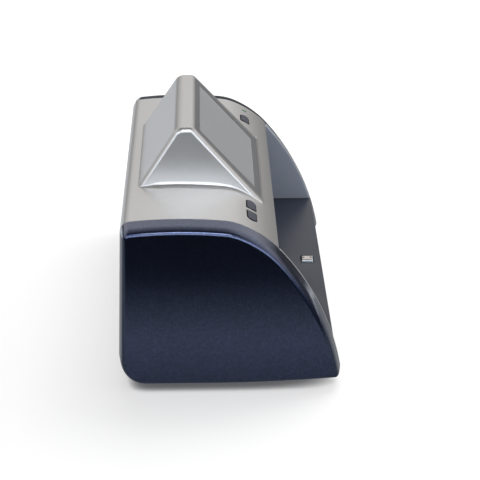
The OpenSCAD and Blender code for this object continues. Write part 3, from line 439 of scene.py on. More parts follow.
def new_group(name, *ins):
    """A group that makes a surface's colour, roughness and normal from the inputs named."""
    tree = bpy.data.node_groups.new(name, "ShaderNodeTree")
    for label in ins:
        kind = "NodeSocketColor" if label.endswith("Color") else "NodeSocketFloat"
        tree.interface.new_socket(label, in_out="INPUT", socket_type=kind)
    for label, kind in (("Color", "Color"), ("Roughness", "Float"), ("Normal", "Vector")):
        tree.interface.new_socket(label, in_out="OUTPUT", socket_type="NodeSocket" + kind)
    net = Net(tree)
    return net, net.add("NodeGroupInput").outputs, net.add("NodeGroupOutput").inputs


def rgb(r, g, b):
    """A colour as it is seen, 0 to 255, as linear light."""
    shares = (v / 255 for v in (r, g, b))
    return (*(v / 12.92 if v <= 0.04045 else ((v + 0.055) / 1.055) ** 2.4 for v in shares), 1.0)


WHITE, BLACK = rgb(255, 255, 255), rgb(0, 0, 0)


def flake_paint_group():
    """Metallic paint: flakes that catch the light one by one, slow clouding, a slight orange peel."""
    net, i, o = new_group(
        "flake_paint", "Color", "Flake Color", "Flake Scale", "Flakes", "Roughness", "Clouding", "Peel")
    where = net.where()
    cells = net.node("TexVoronoi", {"Scale": i["Flake Scale"], "Vector": where}, feature="F1")
    pick = net.node("SeparateColor", {0: cells.outputs["Color"]}).outputs
    lit = net.maths("MULTIPLY", net.ramp(pick[0], 0.62, 1.0), i["Flakes"], True)
    cloud = net.maths("SUBTRACT", net.noise(where, 22.0, 3.0), 0.5)
    base = net.tint(i["Color"], net.times(cloud, i["Clouding"]))
    net.put(o["Color"], net.blend(lit, base, i["Flake Color"]))
    rough = net.maths("ADD", i["Roughness"], net.times(cloud, 0.04))
    net.put(o["Roughness"], net.maths("SUBTRACT", rough, net.times(lit, 0.08), True))
    net.put(o["Normal"], net.bump(i["Peel"], 0.00002, net.noise(where, 420.0, 1.0)))
    return net.tree


def moulded_group():
    """Moulded plastic: a fine sparked texture with slow changes of shade and gloss."""
    net, i, o = new_group("moulded_grain", "Color", "Grain Scale", "Depth", "Roughness", "Shade")
    where = net.where()
    grain = net.noise(where, i["Grain Scale"], 2.0, 0.65)
    slow = net.maths("SUBTRACT", net.noise(where, 30.0, 3.0), 0.5)
    both = net.maths("ADD", slow, net.times(net.maths("SUBTRACT", grain, 0.5), 0.8))
    net.put(o["Color"], net.tint(i["Color"], net.times(both, i["Shade"])))
    rough = net.maths("ADD", i["Roughness"], net.times(slow, 0.15), True)
    net.put(o["Roughness"], rough)
    net.put(o["Normal"], net.bump(i["Depth"], 0.00004, grain))
    return net.tree


def metal_group():
    """Drawn or machined metal: fine lines along X, with a little staining."""
    net, i, o = new_group("drawn_metal", "Color", "Line Scale", "Roughness", "Lines")
    where = net.where()
    drawn = net.first("VectorMath", {0: where, 1: (0.04, 1.0, 1.0)}, operation="MULTIPLY")
    lines = net.noise(drawn, i["Line Scale"], 2.0, 0.6)
    stain = net.maths("SUBTRACT", net.noise(where, 60.0, 3.0), 0.5)
    streaks = net.times(net.maths("SUBTRACT", lines, 0.5), i["Lines"])
    change = net.maths("ADD", net.times(stain, 0.12), streaks)
    net.put(o["Color"], net.tint(i["Color"], change))
    net.put(o["Roughness"], net.maths("ADD", i["Roughness"], streaks))
    net.put(o["Normal"], net.bump(i["Lines"], 0.00001, lines))
    return net.tree


FLAKE_PAINT, MOULDED, METAL = flake_paint_group(), moulded_group(), metal_group()


def material(name, group, values, **shader):
    """A Principled material whose colour, roughness and normal come from one of the groups."""
    mat = bpy.data.materials.new(name)
    mat.use_nodes = True
    mat.node_tree.nodes.clear()
    net = Net(mat.node_tree)
    surface = net.node("BsdfPrincipled", {key.replace("_", " "): v for key, v in shader.items()})
    net.node("OutputMaterial", {0: surface.outputs[0]})
    made = net.node("Group", values, node_tree=group)
    for label in ("Color", "Roughness", "Normal"):
        net.put(surface.inputs["Base Color" if label == "Color" else label], made.outputs[label])
    return mat


def moulded(name, color, grain, depth, roughness, shade, **shader):
    """A plastic: the scale and depth of its grain, its roughness, and how far its shade wanders."""
    values = {"Color": rgb(*color), "Grain Scale": grain, "Depth": depth, "Roughness": roughness}
    return material(name, MOULDED, {**values, "Shade": shade}, **shader)


def metal(name, color, scale, roughness, lines, metallic=1.0):
    """A metal: the scale of its drawn lines, its roughness and how strongly the lines show."""
    values = {"Color": rgb(*color), "Line Scale": scale, "Roughness": roughness, "Lines": lines}
    return material(name, METAL, values, Metallic=metallic)


silver_paint = material("silver_paint", FLAKE_PAINT, {
    "Color": rgb(198, 196, 194), "Flake Color": rgb(228, 227, 226), "Flake Scale": 5200.0,
    "Flakes": 0.35, "Roughness": 0.33, "Clouding": 0.03, "Peel": 0.015},
    Metallic=0.75, Specular_IOR_Level=0.4, Coat_Weight=0.15, Coat_Roughness=0.12)
navy_paint = material("navy_paint", FLAKE_PAINT, {
    "Color": rgb(46, 55, 84), "Flake Color": rgb(104, 120, 160), "Flake Scale": 2700.0,
    "Flakes": 0.5, "Roughness": 0.24, "Clouding": 0.12, "Peel": 0.04},
    Metallic=0.95, Specular_IOR_Level=0.4, Coat_Weight=0.9, Coat_Roughness=0.07)
base_black = moulded("base_black", (40, 41, 44), 1500.0, 0.6, 0.55, 0.1)
floor_charcoal = moulded("floor_charcoal", (33, 37, 50), 2400.0, 0.12, 0.37, 0.06)
lining_grey = moulded("lining_grey", (176, 184, 200), 1700.0, 0.4, 0.5, 0.05)
frame_grey = moulded("frame_grey", (98, 98, 100), 2200.0, 0.3, 0.45, 0.05)
display_grey = moulded("display_grey", (146, 146, 148), 5200.0, 0.05, 0.38, 0.02)
# Black for the head's cores and joint line, and painted shade on key and lens sides, key collars and head
# edges
recess_black = moulded("recess_black", (14, 15, 20), 2600.0, 0.2, 0.8, 0.06, Specular_IOR_Level=0.08)
key_grey = moulded("key_grey", (66, 68, 77), 2600.0, 0.3, 0.42, 0.06, Specular_IOR_Level=0.2)
rubber_black = moulded("rubber_black", (30, 30, 31), 900.0, 0.7, 0.8, 0.12)
inner_black = moulded("inner_black", (28, 29, 31), 2000.0, 0.3, 0.45, 0.08)
cream_resin = moulded("cream_resin", (190, 180, 176), 3000.0, 0.1, 0.38, 0.08)
nylon = moulded("nylon", (222, 216, 200), 1800.0, 0.2, 0.5, 0.05)
cable_skin = moulded("cable_skin", (206, 200, 186), 1200.0, 0.3, 0.5, 0.05)
bright_steel = metal("bright_steel", (206, 207, 208), 6000.0, 0.2, 0.12)
lapped_steel = metal("lapped_steel", (206, 214, 220), 2500.0, 0.5, 0.02, 0.6)
spring_steel = metal("spring_steel", (190, 191, 193), 9000.0, 0.36, 0.1)
barrel_black = metal("barrel_black", (30, 30, 33), 5000.0, 0.35, 0.15, 0.0)
capacitor_sleeve = moulded("capacitor_sleeve", (44, 58, 102), 1500.0, 0.1, 0.19, 0.06)
infrared_resin = moulded("infrared_resin", (60, 52, 66), 2500.0, 0.05, 0.12, 0.04, Coat_Weight=0.5)
violet_resin = moulded("violet_resin", (186, 180, 214), 2500.0, 0.05, 0.12, 0.04, Coat_Weight=0.5)
green_light = moulded("green_light", (62, 150, 96), 3000.0, 0.05, 0.2, 0.05, Coat_Weight=0.4)
CLEAR_COAT = {"Coat_Weight": 0.25, "Coat_Roughness": 0.15}
pane_clear = moulded("pane_clear", (152, 153, 155), 3500.0, 0.03, 0.38, 0.03, Alpha=0.94, **CLEAR_COAT)
filter_violet = moulded("filter_violet", (52, 40, 92), 3500.0, 0.03, 0.12, 0.03, Alpha=0.85, **CLEAR_COAT)


def circuit_material():
    """Green solder mask with lighter copper runs under it and pale pads."""
    mat = moulded("circuit_board", (30, 84, 54), 1200.0, 0.1, 0.38, 0.08, Coat_Weight=0.3)
    net = Net(mat.node_tree)
    surface = next(n for n in net.tree.nodes if n.type == "BSDF_PRINCIPLED")
    mask = surface.inputs["Base Color"].links[0].from_socket
    where = net.where()
    bricks = net.node("TexBrick", {
        "Vector": where, "Scale": 120.0, "Mortar Size": 0.012, "Color1": BLACK, "Color2": BLACK,
        "Mortar": WHITE, "Brick Width": 0.7, "Row Height": 0.16})
    dots = net.node("TexVoronoi", {"Vector": where, "Scale": 260.0, "Randomness": 0.35}, feature="F1")
    pads = net.ramp(dots.outputs["Distance"], 0.2, 0.17)
    runs = net.blend(net.times(bricks.outputs["Color"], 0.7), mask, rgb(70, 132, 84))
    board = net.blend(net.times(pads, 0.8), runs, rgb(196, 190, 160))
    net.put(surface.inputs["Base Color"], board)
    return mat


circuit_board = circuit_material()


# ---- repeated pieces, set out by geometry nodes
def scatter_tree():
    """Sets a copy of a part at each point, turned by the point's own turn, in one material."""
    tree = bpy.data.node_groups.new("set_out", "GeometryNodeTree")
    for label, way, kind in (("Places", "INPUT", "Geometry"), ("Part", "INPUT", "Object"),
                             ("Finish", "INPUT", "Material"), ("Copies", "OUTPUT", "Geometry")):
        tree.interface.new_socket(label, in_out=way, socket_type="NodeSocket" + kind)
    net = Net(tree, "GeometryNode")
    enter, leave = net.add("NodeGroupInput").outputs, net.add("NodeGroupOutput").inputs
    part = net.node("ObjectInfo", {"Object": enter["Part"]}, transform_space="ORIGINAL")
    turn = net.first("InputNamedAttribute", {"Name": "turn"}, data_type="FLOAT_VECTOR")
    turned = net.add("FunctionNodeEulerToRotation", {0: turn}).outputs[0]
    copies = net.first("InstanceOnPoints", {
        "Points": enter["Places"], "Instance": part.outputs["Geometry"], "Rotation": turned})
    real = net.first("RealizeInstances", {"Geometry": copies})
    net.put(leave["Copies"], net.first("SetMaterial", {"Geometry": real, "Material": enter["Finish"]}))
    return tree


SET_OUT = scatter_tree()


def set_out(name, part, places, finish):
    """Copies of a part; places are (point in metres, (rx, ry, rz) in radians)."""
    mesh = bpy.data.meshes.new(name)
    mesh.from_pydata([place for place, _ in places], [], [])
    turn = mesh.attributes.new("turn", "FLOAT_VECTOR", "POINT")
    turn.data.foreach_set("vector", [angle for _, turns in places for angle in turns])
    obj = add_object(name, mesh)
    m = obj.modifiers.new("set_out", "NODES")
    m.node_group = SET_OUT
    ids = {s.name: s.identifier for s in SET_OUT.interface.items_tree if s.in_out == "INPUT"}
    m[ids["Part"]], m[ids["Finish"]] = part, finish
    settle(obj)
    bpy.data.objects.remove(part)
    return obj


# ---- end caps
CAP_SEAM = ((0, WALL), (0.02, 0.32), (0.12, 0.12), (0.35, 0.05))     # the hairline chamfer
BEND_STEPS, ROLL_STEPS = 16, 11


def end_cap(hand, side):
    """A drafted cap whose rim bends slowly, then rolls over into the flat face."""
    edge_x = BODY_W / 2 - CAP_ROLL
    bend_x = edge_x - CAP_BEND
    draft = tan(DRAFT)
    turn = degrees(atan(draft + 2 * CAP_BOW * CAP_BEND))
    roll = CAP_ROLL / (1 - sin(turn))

    def drop(x):
        return (x - FRAME_X) * draft + CAP_BOW * max(0.0, x - bend_x) ** 2

    stations = [(FRAME_X + x, inset) for x, inset in CAP_SEAM]
    stations += [(x, drop(x)) for x in np.linspace(FRAME_X + 0.6, edge_x, BEND_STEPS)]
    for k in range(1, ROLL_STEPS + 1):
        a = turn + (90 - turn) * k / ROLL_STEPS
        stations.append((edge_x + roll * (sin(a) - sin(turn)), drop(edge_x) + roll * (cos(turn) - cos(a))))
    bm = loft([[seat(side * x, *p) for p in outline(inset, 1.5)] for x, inset in stations])
    casing_piece(hand + "_end_shell", bm, 40, navy_paint, "end_cap", hand + "_end_cap")


for hand, side in SIDES:
    end_cap(hand, side)


# ---- top housing with its ridge
def hump_half(z):
    """Half the ridge's length at a height."""
    return HUMP_LEN / 2 - (z - CAP_H) * tan(HUMP_LEAN)


def front_touch(r, z):
    """The y of a circle's middle at height z, where the circle touches the screen's slope."""
    return -SCREEN_Y + (r + (z - SCREEN_Z) * cos(TILT)) / sin(TILT)


def back_touch(r, z):
    """The same for the ridge's back slope."""
    return -HUMP_BACK_Y - (r + (z - CAP_H) * cos(HUMP_BACK_TILT)) / sin(HUMP_BACK_TILT)


RIDGE_FRONT_Z, RIDGE_BACK_Z = HUMP_TOP - RIDGE_FRONT_R, HUMP_TOP - RIDGE_BACK_R
TOE_Z = SCREEN_Z - (BEZEL_START + BEZEL_LEN + BEZEL_RIM) * sin(TILT) - HUMP_TOE_R * cos(TILT)
HUMP_FRONT = front_touch(HUMP_TOE_R, TOE_Z) - HUMP_TOE_R


def hump_corners(sink):
    """The circles (y, z, radius) round which the ridge's section is drawn."""
    foot, r = CAP_H - 5.0, HUMP_TOE_R
    toe = front_touch(r, TOE_Z)
    return [(front_touch(RIDGE_FRONT_R, RIDGE_FRONT_Z), RIDGE_FRONT_Z, RIDGE_FRONT_R),
            (back_touch(RIDGE_BACK_R, RIDGE_BACK_Z), RIDGE_BACK_Z, RIDGE_BACK_R),
            (toe, TOE_Z, r), (toe, TOE_Z - 0.6 - sink, r), (back_touch(r, foot), foot - sink, r)]


def hump_hull(inset, edge, sink):
    """The closed ridge form, its ends leaning in and its edges rounded."""
    bm = bmesh.new()
    for y, z, r in hump_corners(sink):
        for t in (range(0, 91, 15) if edge else (90,)):
            ring = r - inset - edge * (1 - cos(90 - t))
            back = inset + edge * (1 - cos(t))
            for k in range(64):
                a = 360 * k / 64
                py, pz = y + ring * sin(a), z + ring * cos(a)
                for side in (-1, 1):
                    bm.verts.new(seat(side * (hump_half(pz) - back), py, pz))
    hull = bmesh.ops.convex_hull(bm, input=bm.verts)
    loose = {g for key in ("geom_interior", "geom_unused") for g in hull[key]
             if isinstance(g, bmesh.types.BMVert)}
    bmesh.ops.delete(bm, geom=[v for v in loose if v.is_valid], context="VERTS")
    bmesh.ops.delete(bm, geom=[v for v in bm.verts if not v.link_faces], context="VERTS")
    bmesh.ops.dissolve_limit(bm, angle_limit=radians(0.25), verts=bm.verts, edges=bm.edges)
    return from_bmesh("tool", bm)


def tilted(x, y, z, slope):
    """A frame at a point of the solids, its y axis up the slope and its z axis out of it."""
    return Matrix.Translation(seat(x, y, z)) @ Matrix.Rotation(radians(slope), 4, "X")


def on_screen():
    return tilted(0, -SCREEN_Y, SCREEN_Z, TILT)


def on_brow(x):
    """The frame of a key: its origin is the middle of the brow's curve."""
    return tilted(x, *brow_c, KEY_TURN)


def bezel_half(v):
    """Half the screen frame's width at a distance down the slope."""
    top = hump_half(SCREEN_Z - BEZEL_START * sin(TILT)) - BEZEL_MARGIN
    return top + (v - BEZEL_START) * tan(BEZEL_TAPER)


def rounded(corners, radius):
    """A closed loop of (x, y) round a convex polygon with rounded corners."""
    loop, n, steps = [], len(corners), 5
    for k in range(n):
        p = np.array(corners[k], float)
        a, b = unit(np.array(corners[k - 1], float) - p), unit(np.array(corners[(k + 1) % n], float) - p)
        half = acos(max(-1, min(1, a @ b))) / 2
        reach = radius / math.tan(half)
        centre = p + unit(a + b) * radius / math.sin(half)
        s, e = p + a * reach - centre, p + b * reach - centre
        for t in range(steps + 1):
            loop.append(centre + unit(s + (e - s) * t / steps) * radius)
    return loop


def bezel_corners(gap):
    v0, v1 = BEZEL_START + gap, BEZEL_START + BEZEL_LEN - gap
    w0, w1 = bezel_half(v0) - gap, bezel_half(v1) - gap
    return [(-w0, -v0), (-w1, -v1), (w1, -v1), (w0, -v0)]


def view_corners(lap):
    w, v0, v1 = VIEW_W / 2 + lap, VIEW_START - lap, VIEW_START + VIEW_H + lap
    return [(-w, -v0), (-w, -v1), (w, -v1), (w, -v0)]


def light_corners(gap):
    w, d = LIGHT_W / 2 + gap, LIGHT_D / 2 + gap
    return [(-w, -d), (w, -d), (w, d), (-w, d)]


KEY_STEPS, KEY_CORNER, CORNER_STEPS = 12, 0.5, 4


def key_loop(gap):
    """Half a stadium: straight end at x = 0, round end at x = KEY_W."""
    r, c = KEY_D / 2 + gap, KEY_CORNER
    turns = [180 * t / KEY_STEPS for t in range(KEY_STEPS + 1)]
    loop = [(KEY_W - KEY_D / 2 + r * sin(a), r * cos(a)) for a in turns]
    for cy, first in ((c - r, 180), (r - c, 270)):
        turns = [first + 90 * t / CORNER_STEPS for t in range(CORNER_STEPS + 1)]
        loop += [(c - gap + c * sin(a), cy + c * cos(a)) for a in turns]
    return loop


def tool_from(loop, place, z0, z1, flip=1):
    return from_bmesh("tool", loft([ring_at(place, loop, z, flip) for z in (z0, z1)]))


# Where each key's straight end is, and whether it runs to the right of that
KEYS = {"power_key": (POWER_X - KEY_W / 2, 1), "right_function_key": (-PAIR_X + PAIR_HALF, 1),
        "left_function_key": (-PAIR_X - PAIR_HALF, -1)}


def hood_band():
    """Cross-section of the shell from the back seam over the top to the hood's front edge."""
    def kept(inset, low):
        rows = [p for p in outline(inset, 1.0) if p[0] > -HOOD_REACH + low and p[1] > SEAM_Z + low]
        return sorted(rows, key=lambda p: atan2(p[1] - 40, p[0] + 45))

    z = surface(-HOOD_REACH)[0]
    nose = [(-HOOD_REACH + 0.4, surface(-HOOD_REACH + 0.4)[0]), (-HOOD_REACH + 0.12, z + 0.02),
            (-HOOD_REACH, z - 0.35)]
    under = brow_c[1] + sqrt((BROW_R - WALL) ** 2 - (HOOD_REACH + brow_c[0]) ** 2)
    start = [(-back_at(SEAM_Z + 0.25, 0), SEAM_Z + 0.25)]
    foot = [(-back_at(SEAM_Z, WALL), SEAM_Z), (-back_at(SEAM_Z, 0) - 0.3, SEAM_Z)]
    return start + kept(0, 0.4) + nose + [(-HOOD_REACH, under)] + kept(WALL, 0)[::-1] + foot


FILLET_TIP, FILLET_SIDE, FILLET_STEPS = 0.8, 3.3, 10
FILLET_CORNER, FILLET_PROUD, FILLET_ROOT = 2.0, 0.012, 0.4


def hump_fillet():
    """The hollow curve where the ridge meets the shell, wide along its ends and fine at their tips."""
    path = []
    r = FILLET_CORNER
    side = np.array((cos(HUMP_LEAN), 0.0, sin(HUMP_LEAN)))
    front = np.array((0.0, -1.0, 0.0))
    back = np.array((0.0, sin(HUMP_BACK_TILT), cos(HUMP_BACK_TILT)))

    def at(x, y, wall, radius=FILLET_TIP):
        z, a = surface(y)
        path.append((np.array((x, y, z)), np.array((0.0, *normal(a))), unit(wall), radius))

    y_front, y_back = HUMP_FRONT, -HUMP_BACK_Y
    for _ in range(30):
        y_back = -HUMP_BACK_Y - (surface(y_back)[0] - CAP_H) / tan(HUMP_BACK_TILT)
    xf, xb = hump_half(surface(y_front)[0]), hump_half(surface(y_back)[0])
    corner = [90 * k / 8 for k in range(1, 8)]
    for k in range(9):
        at((xf - r) * k / 8, y_front, front)
    for a in corner:
        at(xf - r + r * sin(a), y_front + r * (1 - cos(a)), side * sin(a) + front * cos(a))
    for k in range(41):
        y = y_front + r + (y_back - y_front - 2 * r) * k / 40
        ease = min(1, k / 16, (40 - k) / 7)
        wide = FILLET_TIP + (FILLET_SIDE - FILLET_TIP) * ease * ease * (3 - 2 * ease)
        at(hump_half(surface(y)[0]), y, side, wide)
    for a in corner:
        at(xb - r + r * cos(a), y_back - r + r * sin(a), side * cos(a) + back * sin(a))
    for k in range(9):
        at((xb - r) * (1 - k / 8), y_back, back)
    bm = bmesh.new()
    for mirror in (1, -1):
        rings = []
        for p, top, wall, radius in path:
            centre = p + radius * (top + wall) / (1 + top @ wall)
            ring = []
            for t in range(FILLET_STEPS + 1):
                d = top * (1 - t / FILLET_STEPS) + wall * t / FILLET_STEPS
                ring.append(centre - (radius + FILLET_PROUD) * unit(d))
            ring.append(p - FILLET_ROOT * (top + wall))
            rings.append([seat(mirror * q[0], q[1], q[2]) for q in ring])
        loft(rings, bm)
    merge(bm)
    return from_bmesh("fillet", bm, 50)


JACK_X, JACK_DROP, JACK_HOLE_R, JACK_HOLE_Y = 0.060, 0.0045, 0.0043, (0.0665, 0.0745)


# The lip under the hood's front edge, as (y, z) from its lowest front corner
LIP_SHAPE = ((0, 0.3), (0.3, 0), (LIP_T, 0), (LIP_T, 4.6), (0, 3.2))


def jack_tool():
    """A round bar through the back wall at the power socket."""
    r, z = JACK_HOLE_R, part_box("power_socket")[1].z - JACK_DROP
    circle = [(JACK_X + r * cos(a), z + r * sin(a)) for a in range(0, 360, 10)]
    return from_bmesh("tool", loft([[Vector((x, y, z)) for x, z in circle] for y in JACK_HOLE_Y]))


def top_housing():
    """The silver shell: a drawn band with the ridge, less the hollow, the windows and the holes."""
    band = from_bmesh("housing", prism(hood_band(), -FRAME_X + 0.02, FRAME_X - 0.02))
    cut(band, hump_hull(0, HUMP_EDGE, 0), "UNION")
    cut(band, hump_hull(WALL, 0, 9))
    cut(band, tool_from(rounded(bezel_corners(0), 1.6), on_screen(), -BEZEL_T, 8))
    cut(band, tool_from(rounded(view_corners(VIEW_LAP + GAP), 0.6), on_screen(), -12, 0))
    for x, flip in KEYS.values():
        cut(band, tool_from(key_loop(KEY_RIM), on_brow(x), BROW_R - 8, BROW_R + 8, flip))
    cut(band, tool_from(rounded(light_corners(GAP), 0.4), on_brow(LIGHT_X), BROW_R - 8, BROW_R + 8))
    cut(band, jack_tool())
    resharpen(band)
    lip_shape = [(y - HOOD_REACH, CEILING_Z + z) for y, z in LIP_SHAPE]
    lip = from_bmesh("lip", prism(lip_shape, -FRAME_IN + GAP, FRAME_IN - GAP))
    body = weigh(joined("top_shell", band, lip, hump_fillet()))
    paint(body, silver_paint)
    finished(body, "casing", "housing", "top_housing")


top_housing()


# ---- side frames, walls, floor, base
def side_frame(hand, side):
    """The plate whose rim shows between the cap and the chamber."""
    points = [shown if shown[0] < -HOOD_REACH - GAP or shown[1] < SEAM_Z - GAP else hidden
              for shown, hidden in zip(outline(0, 1.5), outline(WALL + GAP, 1.5))]
    bm = prism(points, side * FRAME_IN, side * (FRAME_X - 0.03), 0.3)
    casing_piece(hand + "_rim_plate", bm, 40, silver_paint, "side_frame", hand + "_side_frame")


for hand, side in SIDES:
    side_frame(hand, side)

dress("base_pan", "base_shell", base_black, "base", 0.3)
dress("rubber_feet", "feet", rubber_black, "rubber", 0.5, segments=3)
dress("chamber_floor", "floor_plate", floor_charcoal, "chamber_floor", 0.25)
dress("left_chamber_wall", "left_wall", lining_grey, "chamber_lining", 0.25)
dress("right_chamber_wall", "right_wall", lining_grey, "chamber_lining", 0.25)
dress("chamber_back_wall", "back_wall", lining_grey, "chamber_lining", 0.2)
dress("chamber_ceiling", "ceiling", lining_grey, "chamber_lining", 0.15)


# ---- screen
def screen_frame():
    """The flat frame round the display, with a rounded outside and a chamfered window."""
    rows = [(bezel_corners(0.12), 1.5, -BEZEL_T), (bezel_corners(0.12), 1.5, -0.22),
            (bezel_corners(0.2), 1.42, -0.07), (bezel_corners(0.34), 1.3, 0.0),
            (view_corners(0.3), 0.6, 0.0), (view_corners(0.1), 0.5, -0.06),
            (view_corners(0), 0.5, -0.22), (view_corners(0), 0.5, -BEZEL_T)]
    bm = loft([ring_at(on_screen(), rounded(corners, r), z) for corners, r, z in rows], shut=True)
    casing_piece("display_frame", bm, 25, frame_grey, "screen_frame", "screen_frame")


def screen_pane():
    """A stepped clear plate: its wide back lies behind the frame, its face fills the window."""
    wide, seen = view_corners(VIEW_LAP), view_corners(-0.1)
    rows = [(wide, -BEZEL_T - 1.1), (wide, -BEZEL_T), (seen, -BEZEL_T), (seen, -0.38),
            (view_corners(-0.18), -0.3)]
    bm = loft([ring_at(on_screen(), rounded(corners, 0.3), z) for corners, z in rows])
    casing_piece("pane", bm, 25, pane_clear, "pane", "screen_pane")


screen_frame()
screen_pane()
dress("display_panel", "display", display_grey, "display", 0.1)


# ---- keys and light
KEY_ROLL, KEY_ROLL_STEPS, KEY_SUNK = 0.6, 5, 1.2
# The rings of the black collar that paints shade in a key's gap: (gap, sink) of each
SHADE_COLLAR = ((KEY_RIM + 0.1, 0.03), (0.15, 0.22), (0.15, 1.9), (KEY_RIM + 0.1, 1.9))


def crowned(place, loop, r, drop, flip):
    """A loop laid over a cylinder about a placed frame's x axis, then sunk."""
    return [place @ mm(flip * x, y, sqrt(r ** 2 - y ** 2) - drop) for x, y in loop]


def key_piece(name, x, flip):
    """A key cap whose top follows the brow and rolls over at its edges."""
    place, top = on_brow(x), BROW_R + KEY_PROUD
    loops = [(key_loop(0), KEY_ROLL)]
    for k in range(1, KEY_ROLL_STEPS + 1):
        a = 90 * k / KEY_ROLL_STEPS
        loops.append((key_loop(-KEY_ROLL * (1 - cos(a))), KEY_ROLL * (1 - sin(a))))
    middle = np.array((KEY_W / 2 + 0.4, 0.0))
    for share in (0.75, 0.45, 0.15):
        loops.append(([middle + (np.array(p) - middle) * share for p in key_loop(-KEY_ROLL)], 0.0))
    rings = [ring_at(place, key_loop(0), BROW_R - WALL - KEY_SUNK, flip)]
    rings += [crowned(place, loop, top, drop, flip) for loop, drop in loops]
    obj = weigh(from_bmesh(name + "_cap", loft(rings), 50))
    # The key's sides and rolled edge take the black: painted shade of the gap round the key
    paint_top(obj, place, key_grey, recess_black, 0.8)
    finished(obj, name + "_body", "key", name)


def key_shade_collar(name, x, flip):
    """A black collar that lines a key's hole and shows as a dark rim round the key: painted shade in the
    gap.
    """
    rings = [crowned(on_brow(x), key_loop(gap), BROW_R, sink, flip) for gap, sink in SHADE_COLLAR]
    obj = from_bmesh(name + "_collar", loft(rings, shut=True), 50)
    paint(obj, recess_black)
    finished(obj, "casing", "inner_plastic")


for key, (x, flip) in KEYS.items():
    key_piece(key, x, flip)
    key_shade_collar(key, x, flip)


def light_lens():
    """A green lens beside the power key, its top slightly crowned."""
    place = on_brow(LIGHT_X)
    rows = ((1, -6), (1, 0.1), (0.9, 0.26), (0.7, 0.32), (0.3, 0.34))
    bm = loft([[place @ mm(x * share, y * (1 + share) * 0.5, BROW_R + rise)
                for x, y in rounded(light_corners(0), 0.35)] for share, rise in rows])
    obj = weigh(from_bmesh("power_light", bm, 50))
    # The lens's sides take the black: painted shade of the gap round the lens
    paint_top(obj, place, green_light, recess_black, 0.5)
    finished(obj, "casing", "light", "power_light_lens")


light_lens()

# ---- magnetic head
dress("magnetic_head", "head_can", lapped_steel, "bright_steel", 0.25, body="magnetic_head_body",
      segments=3)


# The head's marks, in metres; places along X are shares of the face's width
CORE_R, CORE_Y, CORE_X, GAP_HALF_W, GAP_HALF_L = 0.0009, 0.0026, 0.16, 0.0003, 0.0019
LIP_END, JOINT_END, LINE, MARK_DEEP = 0.10, 0.22, 0.0001, 0.00006
LOW_MARK, LIP_MARK, SHADE_STRIP_PROUD = 0.00001, 0.00002, 0.00012


def head_marks():
    """Marks on the lapped face: two cores, their gap, a joint line, a bright steel lip, and painted shade
    strips.
    """
    low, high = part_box("head_face")
    can_low, can_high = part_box("magnetic_head")
    middle, wide = (low + high) / 2, high.x - low.x
    core_x, lip_x = middle.x + wide * CORE_X, low.x + wide * LIP_END

    def plate(bm, x0, x1, y0, y1, proud):
        made = bmesh.ops.create_cube(bm, size=1.0)["verts"]
        place = ((x0 + x1) / 2, (y0 + y1) / 2, high.z - MARK_DEEP / 2 + proud / 2)
        bmesh.ops.scale(bm, vec=(x1 - x0, y1 - y0, MARK_DEEP + proud), verts=made)
        bmesh.ops.translate(bm, vec=place, verts=made)

    bm = bmesh.new()
    for y in (-CORE_Y, CORE_Y):
        size = {"radius1": CORE_R, "radius2": CORE_R, "depth": MARK_DEEP}
        made = bmesh.ops.create_cone(bm, cap_ends=True, segments=24, **size)
        bmesh.ops.translate(bm, vec=(core_x, middle.y + y, high.z), verts=made["verts"])
    plate(bm, lip_x, low.x + wide * JOINT_END, low.y + LINE, high.y - LINE, LOW_MARK)
    # Black strips over the can's rim along the far and +Y edges: painted shade
    plate(bm, high.x - 2 * LINE, can_high.x, can_low.y, can_high.y, SHADE_STRIP_PROUD)
    plate(bm, low.x, high.x, high.y - LINE, can_high.y, SHADE_STRIP_PROUD)
    cores = from_bmesh("head_cores", bm)
    bm = bmesh.new()
    plate(bm, core_x - GAP_HALF_W, core_x + GAP_HALF_W, middle.y - GAP_HALF_L, middle.y + GAP_HALF_L,
          LOW_MARK)
    gap = from_bmesh("head_gap", bm)
    bm = bmesh.new()
    plate(bm, low.x, lip_x, low.y, high.y, LIP_MARK)
    lip = soften(from_bmesh("head_lip", bm), 0.02)
    steel = (lapped_steel, "bright_steel")
    for mark, (finish, slot) in ((cores, (recess_black, "inner_plastic")), (gap, steel), (lip, steel)):
        finished(paint(mark, finish), "magnetic_head_body", slot)


dress("head_face", "head_slab", cream_resin, "head_face", 0.12, body="magnetic_head_body", segments=3)
head_marks()

# ---- every other solid
BOARD = (circuit_board, "circuit_board", 0)
INNER = {
    "display_gasket": (rubber_black, "gasket", 0), "display_spacers": (nylon, "spacer", 0.1),
    "display_board": BOARD, "display_cable": (cable_skin, "flat_cable", 0),
    "key_switches": (inner_black, "switch", 0.1), "power_key_board": BOARD,
    "function_key_board": BOARD, "power_light_chip": (nylon, "chip", 0.1),
    "head_guide": (inner_black, "inner_plastic", 0.15), "head_spring": (spring_steel, "spring_steel", 0),
    "camera_board": BOARD, "camera_lens": (barrel_black, "lens", 0.2),
    "infrared_board": BOARD, "infrared_lamps": (infrared_resin, "infrared_lamp", 0),
    "ultraviolet_board": BOARD, "ultraviolet_lamps": (violet_resin, "uv_lamp", 0),
    "ultraviolet_filter": (filter_violet, "uv_filter", 0.1), "main_board": BOARD,
    "processor_shield": (bright_steel, "bright_steel", 0.3),
    "board_capacitors": (capacitor_sleeve, "capacitor", 0.3),
    "board_connectors": (nylon, "connector", 0.2), "board_chips": (inner_black, "chip", 0.15),
    "power_socket": (inner_black, "inner_plastic", 0.15), "buzzer": (inner_black, "inner_plastic", 0.3),
}
inner = {node: dress(node, node + "_piece", finish, slot, bevel)
         for node, (finish, slot, bevel) in INNER.items()}
